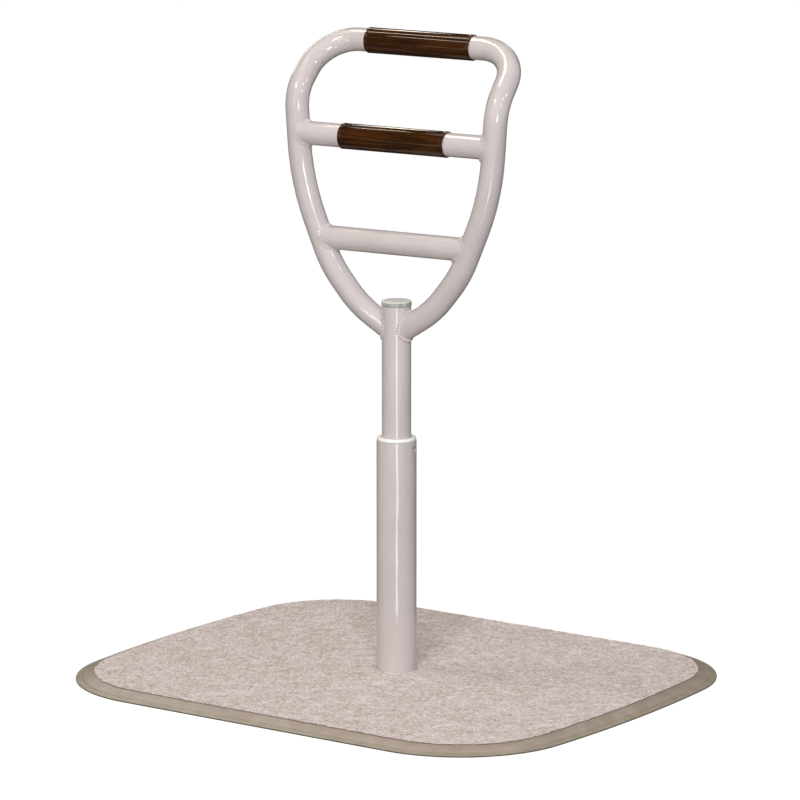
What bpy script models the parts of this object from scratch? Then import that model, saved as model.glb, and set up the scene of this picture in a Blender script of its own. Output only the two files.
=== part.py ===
# Standing support handle: a carpeted floor plate with a telescopic post and a looped grab handle.
#
# The person stands up, or gets off a bed or a mat, by holding the bars of the loop. Their weight
# stays on the wide plate. The inner post slides in the outer column for height and turns in it
# for direction, and a set screw near the column's top clamps it.
#
# Units are metres, +Z is up. The origin is on the floor under the middle of the plate. +X runs
# along the plate's long side, and +Y points to the side that the top of the handle leans to.

import math

import bmesh
import bpy
from mathutils import Matrix, Vector

COLLECTION = "standing_support_handle"
CUTTER_COLLECTION = "cutters"

# Clearance between meshes that touch on the real object
GAP = 0.0003
MERGE = 0.00001

# Floor plate
BASE_LENGTH = 0.700
BASE_WIDTH = 0.588
CORNER_RADIUS = 0.149
END_BOW = 0.0066
SHEET_THICKNESS = 0.0018
PLATE_THICKNESS = 0.0045
CARPET_THICKNESS = 0.0033
CARPET_HOLE_CLEARANCE = 0.0005
ACCESS_HOLE_DIAMETER = 0.064

# Bevelled edge trim round the plate
TRIM_WIDTH = 0.025
TRIM_TOP_DROP = 0.0013
TRIM_TOP_FLAT = 0.0020
TRIM_CREST_ROUND = 0.0012
TRIM_LIP_HEIGHT = 0.0013
TRIM_TOE_WIDTH = 0.0075
TRIM_TOE_RISE = 0.0022
TRIM_GROOVE_WIDTH = 0.0012
TRIM_GROOVE_DEPTH = 0.0007
TRIM_TONGUE = 0.008
TRIM_JOINT_GAP = 0.0004

# Post, all of it turned on the plate by this angle
STAND_YAW_DEG = 6.3
COLUMN_DIAMETER = 0.0486
COLUMN_WALL = 0.0023
COLUMN_TOP_HEIGHT = 0.295
FOOT_PLUG_THICKNESS = 0.020
FOOT_SCREW_COUNT = 3
FOOT_SCREW_CIRCLE = 0.024
FOOT_SCREW_DIAMETER = 0.008
FOOT_SCREW_HEAD_DIAMETER = 0.0158
FOOT_SCREW_LENGTH = 0.018
FOOT_SCREW_SOCKET = 0.005
FOOT_SCREW_SOCKET_DEPTH = 0.0025

# Nylon guide bush in the column's mouth
BUSH_FLANGE_INSET = 0.0005
BUSH_FLANGE_THICKNESS = 0.0037
BUSH_FLANGE_ROUND = 0.0014

# Sliding post and what it carries inside the column
INNER_POST_DIAMETER = 0.0355
INNER_POST_WALL = 0.0023
INNER_POST_TOP_HEIGHT = 0.4604
SLIDING_CLEARANCE = 0.0005
POST_FOOT_THICKNESS = 0.005
POST_FOOT_SPIGOT = 0.044
POST_FOOT_WALL = 0.004
GLIDE_BUSH_HEIGHT = 0.0314
RETAINING_PIN_DIAMETER = 0.004
RETAINING_PIN_END_CLEARANCE = 0.0015
LIFT = 0.100

# Cap in the top of the post
CAP_OVERHANG = 0.00045
CAP_THICKNESS = 0.0058
CAP_ROUND = 0.0016
CAP_SPIGOT = 0.018
CAP_WALL = 0.002

# Set screw that clamps the post, below the column's mouth
LOCK_DROP = 0.010
LOCK_SCREW_DIAMETER = 0.008
LOCK_SCREW_CHAMFER = 0.0006
LOCK_SCREW_SOCKET = 0.004
LOCK_SCREW_WEB = 0.00045
LOCK_SCREW_RECESS = 0.0007
LOCK_NUT_DIAMETER = 0.014
LOCK_TIP_DIAMETER = 0.005
LOCK_TIP_LENGTH = 0.0018
LOCK_TIP_STAND_OUT = 0.0006

# Handle loop: corners of its centreline, as distance from the post's axis, lean and height.
# Its ends are welded on below the post's top. Ankle, knee and waist rise from the ends, and the
# shoulders hang below the top.
TUBE_DIAMETER = 0.0286
TUBE_WALL = 0.0016
LOOP_HEIGHT = 0.3396
LOOP_TOP_INSET = 0.0032
LOOP_TOP_LEAN = 0.0618
LOOP_TOP_RADIUS = 0.0516
LOOP_SHOULDER_HALF_WIDTH = 0.1370
LOOP_SHOULDER_DROP = 0.0589
LOOP_SHOULDER_RADIUS = 0.0505
LOOP_LEG_OFFSET = -0.003
LOOP_WAIST_INSET = 0.0075
LOOP_WAIST_RISE = 0.1718
LOOP_WAIST_RADIUS = 0.296
LOOP_KNEE_HALF_WIDTH = 0.0888
LOOP_KNEE_RISE = 0.0731
LOOP_KNEE_RADIUS = 0.155
LOOP_ANKLE_HALF_WIDTH = 0.0515
LOOP_ANKLE_RISE = 0.0270
LOOP_ANKLE_RADIUS = 0.128
LOOP_END_DEPTH = 0.00875
LOOP_END_DROP = 0.0296

# Cross bars and the sleeves on them. The middle bar hangs below the loop's top, and the lower
# bar rises from the loop's ends.
MIDDLE_BAR_DROP = 0.1084
LOWER_BAR_RISE = 0.1060
GRIP_LENGTH = 0.144
GRIP_WALL = 0.0012
GRIP_END_ROUND = 0.0008

# How finely round shapes are divided
ROUND_SEGMENTS = 40
TUBE_SIDES = 20
TUBE_BEVEL_RESOLUTION = TUBE_SIDES // 2 - 2
SMALL_SEGMENTS = 16
FILLET_SEGMENTS = 3
BEND_STEP_DEG = 10.0
END_ARC_SEGMENTS = 8
CORNER_SEGMENTS = 11
SHARP_ANGLE = math.radians(35)

# Heights and radii that follow from the values above
PLATE_BOTTOM = SHEET_THICKNESS + GAP
PLATE_TOP = PLATE_BOTTOM + PLATE_THICKNESS
CARPET_BOTTOM = PLATE_TOP + GAP
CARPET_TOP = CARPET_BOTTOM + CARPET_THICKNESS
COLUMN_BOTTOM = PLATE_TOP + GAP
COLUMN_RADIUS = COLUMN_DIAMETER / 2
COLUMN_BORE = COLUMN_RADIUS - COLUMN_WALL
FOOT_PLUG_TOP = COLUMN_BOTTOM + FOOT_PLUG_THICKNESS
POST_RADIUS = INNER_POST_DIAMETER / 2
POST_BORE = POST_RADIUS - INNER_POST_WALL
POST_FOOT_BOTTOM = FOOT_PLUG_TOP + GAP
POST_FOOT_TOP = POST_FOOT_BOTTOM + POST_FOOT_THICKNESS
INNER_POST_BOTTOM = POST_FOOT_TOP + GAP
GLIDE_BUSH_TOP = INNER_POST_BOTTOM + GLIDE_BUSH_HEIGHT
PIN_HEIGHT = GLIDE_BUSH_TOP + GAP + RETAINING_PIN_DIAMETER / 2
PIN_HOLE_RADIUS = RETAINING_PIN_DIAMETER / 2 + GAP
SLEEVE_BOTTOM = PIN_HEIGHT + RETAINING_PIN_DIAMETER / 2 + LIFT + GAP
BUSH_BORE = POST_RADIUS + GAP
BUSH_RADIUS = COLUMN_BORE - GAP
TUBE_RADIUS = TUBE_DIAMETER / 2
BUSH_FLANGE_RADIUS = COLUMN_RADIUS - BUSH_FLANGE_INSET
RETAINING_PIN_LENGTH = 2 * (COLUMN_BORE - RETAINING_PIN_END_CLEARANCE)
LOOP_END_HEIGHT = INNER_POST_TOP_HEIGHT - LOOP_END_DROP
LOOP_END_HALF_WIDTH = POST_RADIUS - LOOP_END_DEPTH
LOOP_ANKLE_HEIGHT = LOOP_END_HEIGHT + LOOP_ANKLE_RISE
LOOP_KNEE_HEIGHT = LOOP_END_HEIGHT + LOOP_KNEE_RISE
LOOP_WAIST_HEIGHT = LOOP_END_HEIGHT + LOOP_WAIST_RISE
LOOP_WAIST_HALF_WIDTH = LOOP_SHOULDER_HALF_WIDTH - LOOP_WAIST_INSET
LOOP_TOP_HEIGHT = LOOP_END_HEIGHT + LOOP_HEIGHT
LOOP_TOP_HALF_WIDTH = LOOP_SHOULDER_HALF_WIDTH - LOOP_TOP_INSET
LOOP_SHOULDER_HEIGHT = LOOP_TOP_HEIGHT - LOOP_SHOULDER_DROP
MIDDLE_BAR_HEIGHT = LOOP_TOP_HEIGHT - MIDDLE_BAR_DROP
LOWER_BAR_HEIGHT = LOOP_END_HEIGHT + LOWER_BAR_RISE
LOCK_HEIGHT = COLUMN_TOP_HEIGHT - LOCK_DROP
LOCK_NUT_INNER = BUSH_BORE + GAP
LOCK_TIP_INNER = POST_RADIUS + GAP
LOCK_SCREW_INNER = LOCK_TIP_INNER + LOCK_TIP_STAND_OUT
LOCK_SCREW_OUTER = COLUMN_RADIUS - LOCK_SCREW_RECESS
LOCK_TIP_POCKET_END = LOCK_TIP_INNER + LOCK_TIP_LENGTH + GAP
LOCK_SCREW_SOCKET_DEPTH = LOCK_SCREW_OUTER - LOCK_TIP_POCKET_END - LOCK_SCREW_WEB
LOCK_HOLE_RADIUS = LOCK_SCREW_DIAMETER / 2 + GAP


# Colours and finishes as the photograph shows them: linear colour, roughness, metallic
FINISHES = {
    "rubber_black": ((0.03, 0.03, 0.03), 0.90, 0.0),
    "zinc_plate": ((0.45, 0.46, 0.47), 0.45, 1.0),
    "carpet_beige": ((0.53, 0.45, 0.41), 0.95, 0.0),
    "trim_olive": ((0.31, 0.26, 0.20), 0.55, 0.0),
    "painted_steel": ((0.62, 0.56, 0.56), 0.30, 0.0),
    "white_nylon": ((0.86, 0.84, 0.82), 0.40, 0.0),
    "black_oxide": ((0.05, 0.05, 0.05), 0.40, 1.0),
    "brass_tip": ((0.70, 0.50, 0.20), 0.30, 1.0),
    "cap_grey_green": ((0.40, 0.41, 0.36), 0.45, 0.0),
    "wood_grain_vinyl": ((0.045, 0.018, 0.007), 0.25, 0.0),
}


def clear_scene():
    for obj in list(bpy.data.objects):
        bpy.data.objects.remove(obj, do_unlink=True)
    for collection in list(bpy.data.collections):
        bpy.data.collections.remove(collection)


def make_collection(name):
    collection = bpy.data.collections.new(name)
    bpy.context.scene.collection.children.link(collection)
    return collection


def make_material(name):
    colour, roughness, metallic = FINISHES[name]
    material = bpy.data.materials.new(name)
    material.use_nodes = True
    shader = material.node_tree.nodes["Principled BSDF"]
    shader.inputs["Base Color"].default_value = (*colour, 1.0)
    shader.inputs["Roughness"].default_value = roughness
    shader.inputs["Metallic"].default_value = metallic
    return material


def make_empty(name, location=(0, 0, 0), rotation=(0, 0, 0), parent=None):
    empty = bpy.data.objects.new(name, None)
    empty.empty_display_size = 0.05
    empty.location = location
    empty.rotation_euler = rotation
    empty.parent = parent
    parts.objects.link(empty)
    return empty


def make_object(name, mesh, parent=None, collection=None):
    obj = bpy.data.objects.new(name, mesh)
    (collection or parts).objects.link(obj)
    obj.parent = parent
    return obj


def finish(obj, material):
    """Give a sub-part its finish and smooth its round faces."""
    obj.data.materials.clear()
    obj.data.materials.append(materials[material])
    obj.data.shade_smooth()
    obj.data.set_sharp_from_angle(angle=SHARP_ANGLE)
    return obj


def evaluated_mesh(obj):
    """The object's mesh with its modifiers or curve settings applied, its loose seams welded and
    its faces turned outwards."""
    depsgraph = bpy.context.evaluated_depsgraph_get()
    depsgraph.update()
    mesh = bpy.data.meshes.new_from_object(obj.evaluated_get(depsgraph))
    shape = bmesh.new()
    shape.from_mesh(mesh)
    bmesh.ops.remove_doubles(shape, verts=shape.verts, dist=MERGE)
    bmesh.ops.recalc_face_normals(shape, faces=shape.faces)
    shape.to_mesh(mesh)
    shape.free()
    return mesh


def applied(obj):
    """Replace a curve or an object with modifiers by a plain mesh object of the same name."""
    name = obj.name
    mesh = evaluated_mesh(obj)
    matrix, parent = obj.matrix_basis.copy(), obj.parent
    collection = obj.users_collection[0]
    bpy.data.objects.remove(obj, do_unlink=True)
    result = make_object(name, mesh, parent, collection)
    result.matrix_basis = matrix
    return result


def turned(name, profile, segments=ROUND_SEGMENTS, parent=None, ring=True, collection=None):
    """A turned body. The profile is (radius, height) points down its outer side, then back up the
    bore of a ring. A solid one starts and ends on the axis."""
    mesh = bpy.data.meshes.new(name)
    count = len(profile)
    edges = [(i, i + 1) for i in range(count - 1)]
    if ring:
        edges.append((count - 1, 0))
    mesh.from_pydata([(radius, 0, height) for radius, height in profile], edges, [])
    obj = make_object(name, mesh, parent, collection)
    screw = obj.modifiers.new("turn", "SCREW")
    screw.axis = "Z"
    screw.angle = math.tau
    screw.steps = segments
    screw.render_steps = segments
    screw.use_merge_vertices = True
    screw.merge_threshold = MERGE
    return applied(obj)


def rounded(corner, before, after, radius, segments=FILLET_SEGMENTS):
    """Points of a fillet at one corner of a profile, in order from the point before it."""
    corner, before, after = Vector(corner), Vector(before), Vector(after)
    to_before = (before - corner).normalized()
    to_after = (after - corner).normalized()
    half = to_before.angle(to_after) / 2
    centre = corner + (to_before + to_after).normalized() * (radius / math.sin(half))
    start = corner + to_before * (radius / math.tan(half)) - centre
    end = corner + to_after * (radius / math.tan(half)) - centre
    sweep = start.angle(end)
    points = []
    for i in range(segments + 1):
        share = i / segments
        spoke = start * math.sin((1 - share) * sweep) + end * math.sin(share * sweep)
        points.append(tuple(centre + spoke / math.sin(sweep)))
    return points


def filleted_path(corners, radii):
    """A tube's centreline: straight runs joined by bends, one point about every BEND_STEP_DEG."""
    corners = [Vector(corner) for corner in corners]
    points = [tuple(corners[0])]
    for before, corner, after, radius in zip(corners, corners[1:], corners[2:], radii):
        bend = math.degrees((corner - before).angle(after - corner))
        steps = max(2, round(bend / BEND_STEP_DEG))
        points += rounded(corner, before, after, radius, steps)
    points.append(tuple(corners[-1]))
    return points


def curve_object(name, splines, parent=None, flat=False, cyclic=False, collection=None):
    curve = bpy.data.curves.new(name, "CURVE")
    curve.dimensions = "2D" if flat else "3D"
    for points in splines:
        spline = curve.splines.new("POLY")
        spline.points.add(len(points) - 1)
        for point, place in zip(spline.points, points):
            x, y, z = (*place, 0.0)[:3]
            point.co = (x, y, z, 1)
        spline.use_cyclic_u = cyclic
    return make_object(name, curve, parent, collection)


def swept_rod(name, points, radius, parent=None, collection=None):
    """A solid round bar along a centreline."""
    obj = curve_object(name, [points], parent, collection=collection)
    obj.data.bevel_depth = radius
    obj.data.bevel_resolution = TUBE_BEVEL_RESOLUTION
    obj.data.use_fill_caps = True
    return applied(obj)


def swept_tube(name, points, radius, wall, parent=None):
    """A hollow tube along a centreline, open at both ends."""
    obj = curve_object(name, [points], parent)
    obj.data.bevel_depth = radius
    obj.data.bevel_resolution = TUBE_BEVEL_RESOLUTION
    obj = applied(obj)
    add_wall(obj, wall)
    return obj


def add_wall(obj, wall):
    solidify = obj.modifiers.new("wall", "SOLIDIFY")
    solidify.thickness = wall
    solidify.offset = -1
    solidify.use_even_offset = True


def flat_slab(name, outlines, thickness, bottom, parent=None):
    """A flat sheet cut to the first outline, with the other outlines as holes."""
    obj = curve_object(name, outlines, parent, flat=True, cyclic=True)
    obj.data.fill_mode = "BOTH"
    obj.data.extrude = thickness / 2
    obj.location.z = bottom + thickness / 2
    return applied(obj)


def circle_points(radius, segments=ROUND_SEGMENTS, centre=(0, 0)):
    step = math.tau / segments
    return [(centre[0] + radius * math.cos(i * step), centre[1] + radius * math.sin(i * step))
            for i in range(segments)]


def cylinder_cutter(name, radius, depth, matrix, segments=ROUND_SEGMENTS):
    """A round cutter centred on the matrix's origin, along the matrix's Z."""
    return cutter(name, segments, radius, depth, matrix)


def hexagon_cutter(name, across_flats, depth, matrix):
    radius = across_flats / 2 / math.cos(math.pi / 6)
    return cutter(name, 6, radius, depth, matrix)


def cutter(name, segments, radius, depth, matrix):
    mesh = bpy.data.meshes.new(name)
    shape = bmesh.new()
    bmesh.ops.create_cone(shape, cap_ends=True, segments=segments, radius1=radius, radius2=radius,
                          depth=depth)
    shape.to_mesh(mesh)
    shape.free()
    obj = make_object(name, mesh, None, cutters)
    obj.matrix_world = matrix
    return hide_cutter(obj)


def box_cutter(name, size, matrix):
    mesh = bpy.data.meshes.new(name)
    shape = bmesh.new()
    bmesh.ops.create_cube(shape, size=1)
    bmesh.ops.scale(shape, vec=size, verts=shape.verts)
    shape.to_mesh(mesh)
    shape.free()
    obj = make_object(name, mesh, None, cutters)
    obj.matrix_world = matrix
    return hide_cutter(obj)


def hide_cutter(obj):
    obj.hide_render = True
    obj.display_type = "WIRE"
    return obj


def cut(obj, tool, operation="DIFFERENCE"):
    boolean = obj.modifiers.new(tool.name, "BOOLEAN")
    boolean.operation = operation
    boolean.object = tool
    boolean.solver = "EXACT"


def base_outline(offset):
    """The plate's plan at an offset from the line that joins its corner centres: straight long
    sides, round corners and ends that bow outwards. It starts at the middle of the back side."""
    half_length = BASE_LENGTH / 2 - CORNER_RADIUS
    half_width = BASE_WIDTH / 2 - CORNER_RADIUS
    bow_radius = (half_width ** 2 + END_BOW ** 2) / (2 * END_BOW)
    bow_angle = math.asin(half_width / bow_radius)
    bow_centre = half_length - bow_radius
    corner_x = bow_centre + bow_radius * math.cos(bow_angle)

    def arc(centre_x, centre_y, radius, start, end, segments):
        step = (end - start) / segments
        return [(centre_x + radius * math.cos(start + i * step),
                 centre_y + radius * math.sin(start + i * step)) for i in range(segments + 1)]

    quarter = math.pi / 2
    left_back = arc(-corner_x, half_width, offset, quarter, math.pi - bow_angle, CORNER_SEGMENTS)
    left_end = arc(-bow_centre, 0, bow_radius + offset, math.pi - bow_angle,
                   math.pi + bow_angle, END_ARC_SEGMENTS)
    left_front = arc(-corner_x, -half_width, offset, math.pi + bow_angle, 3 * quarter,
                     CORNER_SEGMENTS)
    left = left_back + left_end[1:-1] + left_front
    right = [(-x, -y) for x, y in left]
    middle_back = (0, half_width + offset)
    return [middle_back, *left, *right]


def plate_offset():
    return CORNER_RADIUS - TRIM_WIDTH


def stand_matrix():
    return Matrix.Rotation(math.radians(STAND_YAW_DEG), 4, "Z")


def across_matrix(distance, height):
    """A frame on the line that runs out of the post at a height, with its Z along that line."""
    turn = Matrix.Rotation(math.pi / 2, 4, "Y")
    return stand_matrix() @ Matrix.Translation((distance, 0, height)) @ turn


def loop_half():
    """Corners and bend radii of the loop's right half, from the top's middle to the post."""
    corners = [
        (0, LOOP_TOP_LEAN, LOOP_TOP_HEIGHT),
        (LOOP_TOP_HALF_WIDTH, LOOP_TOP_LEAN, LOOP_TOP_HEIGHT),
        (LOOP_SHOULDER_HALF_WIDTH, LOOP_LEG_OFFSET, LOOP_SHOULDER_HEIGHT),
        (LOOP_WAIST_HALF_WIDTH, LOOP_LEG_OFFSET, LOOP_WAIST_HEIGHT),
        (LOOP_KNEE_HALF_WIDTH, LOOP_LEG_OFFSET, LOOP_KNEE_HEIGHT),
        (LOOP_ANKLE_HALF_WIDTH, LOOP_LEG_OFFSET / 2, LOOP_ANKLE_HEIGHT),
        (LOOP_END_HALF_WIDTH, 0, LOOP_END_HEIGHT),
    ]
    radii = [LOOP_TOP_RADIUS, LOOP_SHOULDER_RADIUS, LOOP_WAIST_RADIUS, LOOP_KNEE_RADIUS,
             LOOP_ANKLE_RADIUS]
    return corners, radii


def loop_centreline():
    """The whole loop, from the post up the left leg, over the top and down the right leg."""
    right = filleted_path(*loop_half())
    left = [(-x, y, z) for x, y, z in reversed(right)]
    return left[:-1] + right[1:]


def trim_profile():
    """Section of the edge trim: distance out from the plate's edge, and height. A tongue goes
    under the plate, and the ramp ends in a thin lip."""
    top = CARPET_TOP - TRIM_TOP_DROP
    outer = TRIM_WIDTH - GAP
    toe = outer - TRIM_TOE_WIDTH
    toe_height = TRIM_LIP_HEIGHT + TRIM_TOE_RISE
    groove = toe - TRIM_GROOVE_WIDTH
    crest = (TRIM_TOP_FLAT, top)
    slope = (top - toe_height) / (groove - TRIM_TOP_FLAT)
    ramp_end = (groove, toe_height + slope * TRIM_GROOVE_WIDTH / 2)
    tongue_top = SHEET_THICKNESS
    return [
        (-TRIM_TONGUE, 0),
        (outer, 0),
        (outer, TRIM_LIP_HEIGHT),
        (toe, toe_height),
        (toe - TRIM_GROOVE_WIDTH / 2, toe_height - TRIM_GROOVE_DEPTH),
        ramp_end,
        *rounded(crest, ramp_end, (0, top), TRIM_CREST_ROUND),
        (0, top),
        (0, tongue_top),
        (-TRIM_TONGUE, tongue_top),
    ]


def anti_slip_sheet():
    outline = base_outline(plate_offset() - TRIM_TONGUE)
    hole = circle_points(ACCESS_HOLE_DIAMETER / 2)
    obj = flat_slab("anti_slip_sheet", [outline, hole], SHEET_THICKNESS, 0)
    finish(obj, "rubber_black")


def foot_screw_centres():
    """Plan positions of the screws, turned with the post."""
    yaw = math.radians(STAND_YAW_DEG)
    radius = FOOT_SCREW_CIRCLE / 2
    angles = [yaw + i * math.tau / FOOT_SCREW_COUNT for i in range(FOOT_SCREW_COUNT)]
    return [(radius * math.cos(angle), radius * math.sin(angle)) for angle in angles]


def countersink_depth():
    """Height of a 90 degree head."""
    return (FOOT_SCREW_HEAD_DIAMETER - FOOT_SCREW_DIAMETER) / 2


def screw_hole_cutter(index, centre):
    """A clearance hole with a countersink that opens under the plate."""
    shank = FOOT_SCREW_DIAMETER / 2 + GAP
    head = FOOT_SCREW_HEAD_DIAMETER / 2 + GAP
    mouth = PLATE_BOTTOM - GAP
    shoulder = PLATE_BOTTOM + countersink_depth() + GAP
    top = PLATE_TOP + GAP
    profile = [(0, top), (shank, top), (shank, shoulder), (head, PLATE_BOTTOM + GAP),
               (head, mouth), (0, mouth)]
    tool = turned(f"screw_hole_{index}", profile, SMALL_SEGMENTS, ring=False, collection=cutters)
    tool.location = (*centre, 0)
    return hide_cutter(tool)


def base_plate():
    obj = flat_slab("base_plate", [base_outline(plate_offset())], PLATE_THICKNESS, PLATE_BOTTOM)
    for index, centre in enumerate(foot_screw_centres()):
        cut(obj, screw_hole_cutter(index, centre))
    finish(obj, "zinc_plate")


def carpet():
    outline = base_outline(plate_offset())
    hole = circle_points(COLUMN_RADIUS + CARPET_HOLE_CLEARANCE)
    obj = flat_slab("carpet", [outline, hole], CARPET_THICKNESS, CARPET_BOTTOM)
    finish(obj, "carpet_beige")


def edge_trim():
    """One strip of extruded edging round the plate, its ends butted at the back."""
    path = base_outline(plate_offset() + GAP)
    middle_x, back_y = path[0]
    half_gap = TRIM_JOINT_GAP / 2
    strip = [(middle_x - half_gap, back_y), *path[1:], (middle_x + half_gap, back_y)]
    section = curve_object("trim_section", [trim_profile()], flat=True, cyclic=True,
                           collection=cutters)
    hide_cutter(section)
    obj = curve_object("edge_trim", [strip], flat=True)
    obj.data.fill_mode = "NONE"
    obj.data.bevel_mode = "OBJECT"
    obj.data.bevel_object = section
    obj.data.use_fill_caps = True
    obj = applied(obj)
    finish(obj, "trim_olive")


def outer_column():
    profile = [(COLUMN_RADIUS, COLUMN_TOP_HEIGHT), (COLUMN_RADIUS, COLUMN_BOTTOM),
               (COLUMN_BORE, COLUMN_BOTTOM), (COLUMN_BORE, COLUMN_TOP_HEIGHT)]
    obj = turned("outer_column", profile, parent=stand)
    hole = cylinder_cutter("lock_hole", LOCK_HOLE_RADIUS, COLUMN_RADIUS,
                           across_matrix(COLUMN_RADIUS, LOCK_HEIGHT), SMALL_SEGMENTS)
    cut(obj, hole)
    finish(obj, "painted_steel")


def column_foot_plug():
    """Steel plug welded into the column's foot, with a tapped hole for each foot screw."""
    radius = COLUMN_BORE - GAP
    profile = [(0, FOOT_PLUG_TOP), (radius, FOOT_PLUG_TOP), (radius, COLUMN_BOTTOM),
               (0, COLUMN_BOTTOM)]
    obj = turned("column_foot_plug", profile, parent=stand, ring=False)
    middle = (COLUMN_BOTTOM + FOOT_PLUG_TOP) / 2
    for index, centre in enumerate(foot_screw_centres()):
        hole = cylinder_cutter(f"tapped_hole_{index}", FOOT_SCREW_DIAMETER / 2 + GAP,
                               FOOT_PLUG_THICKNESS * 2, Matrix.Translation((*centre, middle)),
                               SMALL_SEGMENTS)
        cut(obj, hole)
    finish(obj, "zinc_plate")


def foot_screws():
    """Countersunk screws driven up through the plate into the foot plug."""
    head = FOOT_SCREW_HEAD_DIAMETER / 2
    shank = FOOT_SCREW_DIAMETER / 2
    tip = FOOT_SCREW_LENGTH
    profile = [(0, tip), (shank, tip), (shank, countersink_depth()), (head, 0), (0, 0)]
    for index, centre in enumerate(foot_screw_centres(), start=1):
        screw = turned(f"foot_screw_{index}", profile, SMALL_SEGMENTS, ring=False)
        screw.location = (*centre, PLATE_BOTTOM + GAP)
        socket = hexagon_cutter(f"foot_screw_socket_{index}", FOOT_SCREW_SOCKET,
                                FOOT_SCREW_SOCKET_DEPTH * 2, Matrix.Translation(screw.location))
        cut(screw, socket)
        finish(screw, "black_oxide")


def guide_bush():
    """White flanged bush: it seats on the column's mouth and guides the inner post. A slot lets
    it slide down past the nut inside the wall."""
    flange_bottom = COLUMN_TOP_HEIGHT + GAP
    flange_top = flange_bottom + BUSH_FLANGE_THICKNESS
    corner = (BUSH_FLANGE_RADIUS, flange_top)
    foot = (BUSH_FLANGE_RADIUS, flange_bottom)
    profile = [
        (BUSH_BORE, flange_top),
        *rounded(corner, (BUSH_BORE, flange_top), foot, BUSH_FLANGE_ROUND),
        foot,
        (BUSH_RADIUS, flange_bottom),
        (BUSH_RADIUS, SLEEVE_BOTTOM),
        (BUSH_BORE, SLEEVE_BOTTOM),
    ]
    obj = turned("guide_bush", profile, parent=stand)
    slot_width = LOCK_NUT_DIAMETER + 2 * GAP
    slot_top = LOCK_HEIGHT + slot_width / 2
    slot_height = slot_top - SLEEVE_BOTTOM + COLUMN_WALL
    slot = box_cutter("bush_slot", (COLUMN_RADIUS, slot_width, slot_height),
                      stand_matrix() @ Matrix.Translation((COLUMN_RADIUS, 0,
                                                           slot_top - slot_height / 2)))
    cut(obj, slot)
    finish(obj, "white_nylon")


def lock_nut():
    """Threaded pad welded inside the column's wall behind the screw hole."""
    outer = COLUMN_BORE - GAP
    mesh = bpy.data.meshes.new("lock_nut")
    shape = bmesh.new()
    bmesh.ops.create_cone(shape, cap_ends=True, segments=SMALL_SEGMENTS,
                          radius1=LOCK_NUT_DIAMETER / 2, radius2=LOCK_NUT_DIAMETER / 2,
                          depth=COLUMN_RADIUS - LOCK_NUT_INNER)
    shape.to_mesh(mesh)
    shape.free()
    obj = make_object("lock_nut", mesh, lock_axis)
    obj.location.z = (COLUMN_RADIUS + LOCK_NUT_INNER) / 2 - COLUMN_RADIUS
    wall = cylinder_cutter("lock_nut_wall", outer, LOCK_NUT_DIAMETER * 2,
                           stand_matrix() @ Matrix.Translation((0, 0, LOCK_HEIGHT)))
    hole = cylinder_cutter("lock_nut_thread", LOCK_HOLE_RADIUS, COLUMN_RADIUS,
                           across_matrix(COLUMN_RADIUS, LOCK_HEIGHT), SMALL_SEGMENTS)
    cut(obj, wall, "INTERSECT")
    cut(obj, hole)
    finish(obj, "zinc_plate")


def lock_screw():
    """Set screw with a hexagon socket. Its heights run outwards along its axis, from the tip."""
    radius = LOCK_SCREW_DIAMETER / 2
    outer = LOCK_SCREW_OUTER - COLUMN_RADIUS
    inner = LOCK_SCREW_INNER - COLUMN_RADIUS
    pocket = LOCK_TIP_DIAMETER / 2 + GAP
    pocket_end = LOCK_TIP_POCKET_END - COLUMN_RADIUS
    chamfer = LOCK_SCREW_CHAMFER
    profile = [(0, outer), (radius - chamfer, outer), (radius, outer - chamfer),
               (radius, inner + chamfer), (radius - chamfer, inner), (pocket, inner),
               (pocket, pocket_end), (0, pocket_end)]
    obj = turned("lock_screw", profile, SMALL_SEGMENTS, parent=lock_axis, ring=False)
    socket = hexagon_cutter("lock_screw_socket", LOCK_SCREW_SOCKET, LOCK_SCREW_SOCKET_DEPTH * 2,
                            across_matrix(LOCK_SCREW_OUTER, LOCK_HEIGHT))
    cut(obj, socket)
    finish(obj, "black_oxide")


def lock_screw_tip():
    """Soft brass tip, captive in the screw's nose: it presses on the post without turning."""
    radius = LOCK_TIP_DIAMETER / 2
    inner = LOCK_TIP_INNER - COLUMN_RADIUS
    outer = inner + LOCK_TIP_LENGTH
    profile = [(0, outer), (radius, outer), (radius, inner), (0, inner)]
    obj = turned("lock_screw_tip", profile, SMALL_SEGMENTS, parent=lock_axis, ring=False)
    finish(obj, "brass_tip")


def glide_bush():
    """Nylon ring round the post's foot. It slides in the column, and the post turns in it."""
    profile = [(BUSH_RADIUS, GLIDE_BUSH_TOP), (BUSH_RADIUS, INNER_POST_BOTTOM),
               (BUSH_BORE, INNER_POST_BOTTOM), (BUSH_BORE, GLIDE_BUSH_TOP)]
    finish(turned("glide_bush", profile, parent=post_axis), "white_nylon")


def pin_hole(name):
    return cylinder_cutter(name, PIN_HOLE_RADIUS, RETAINING_PIN_LENGTH * 2,
                           across_matrix(0, PIN_HEIGHT), SMALL_SEGMENTS)


def inner_post():
    profile = [(POST_RADIUS, INNER_POST_TOP_HEIGHT), (POST_RADIUS, INNER_POST_BOTTOM),
               (POST_BORE, INNER_POST_BOTTOM), (POST_BORE, INNER_POST_TOP_HEIGHT)]
    obj = turned("inner_post", profile, parent=post_axis)
    cut(obj, pin_hole("post_pin_hole"))
    finish(obj, "painted_steel")


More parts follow.
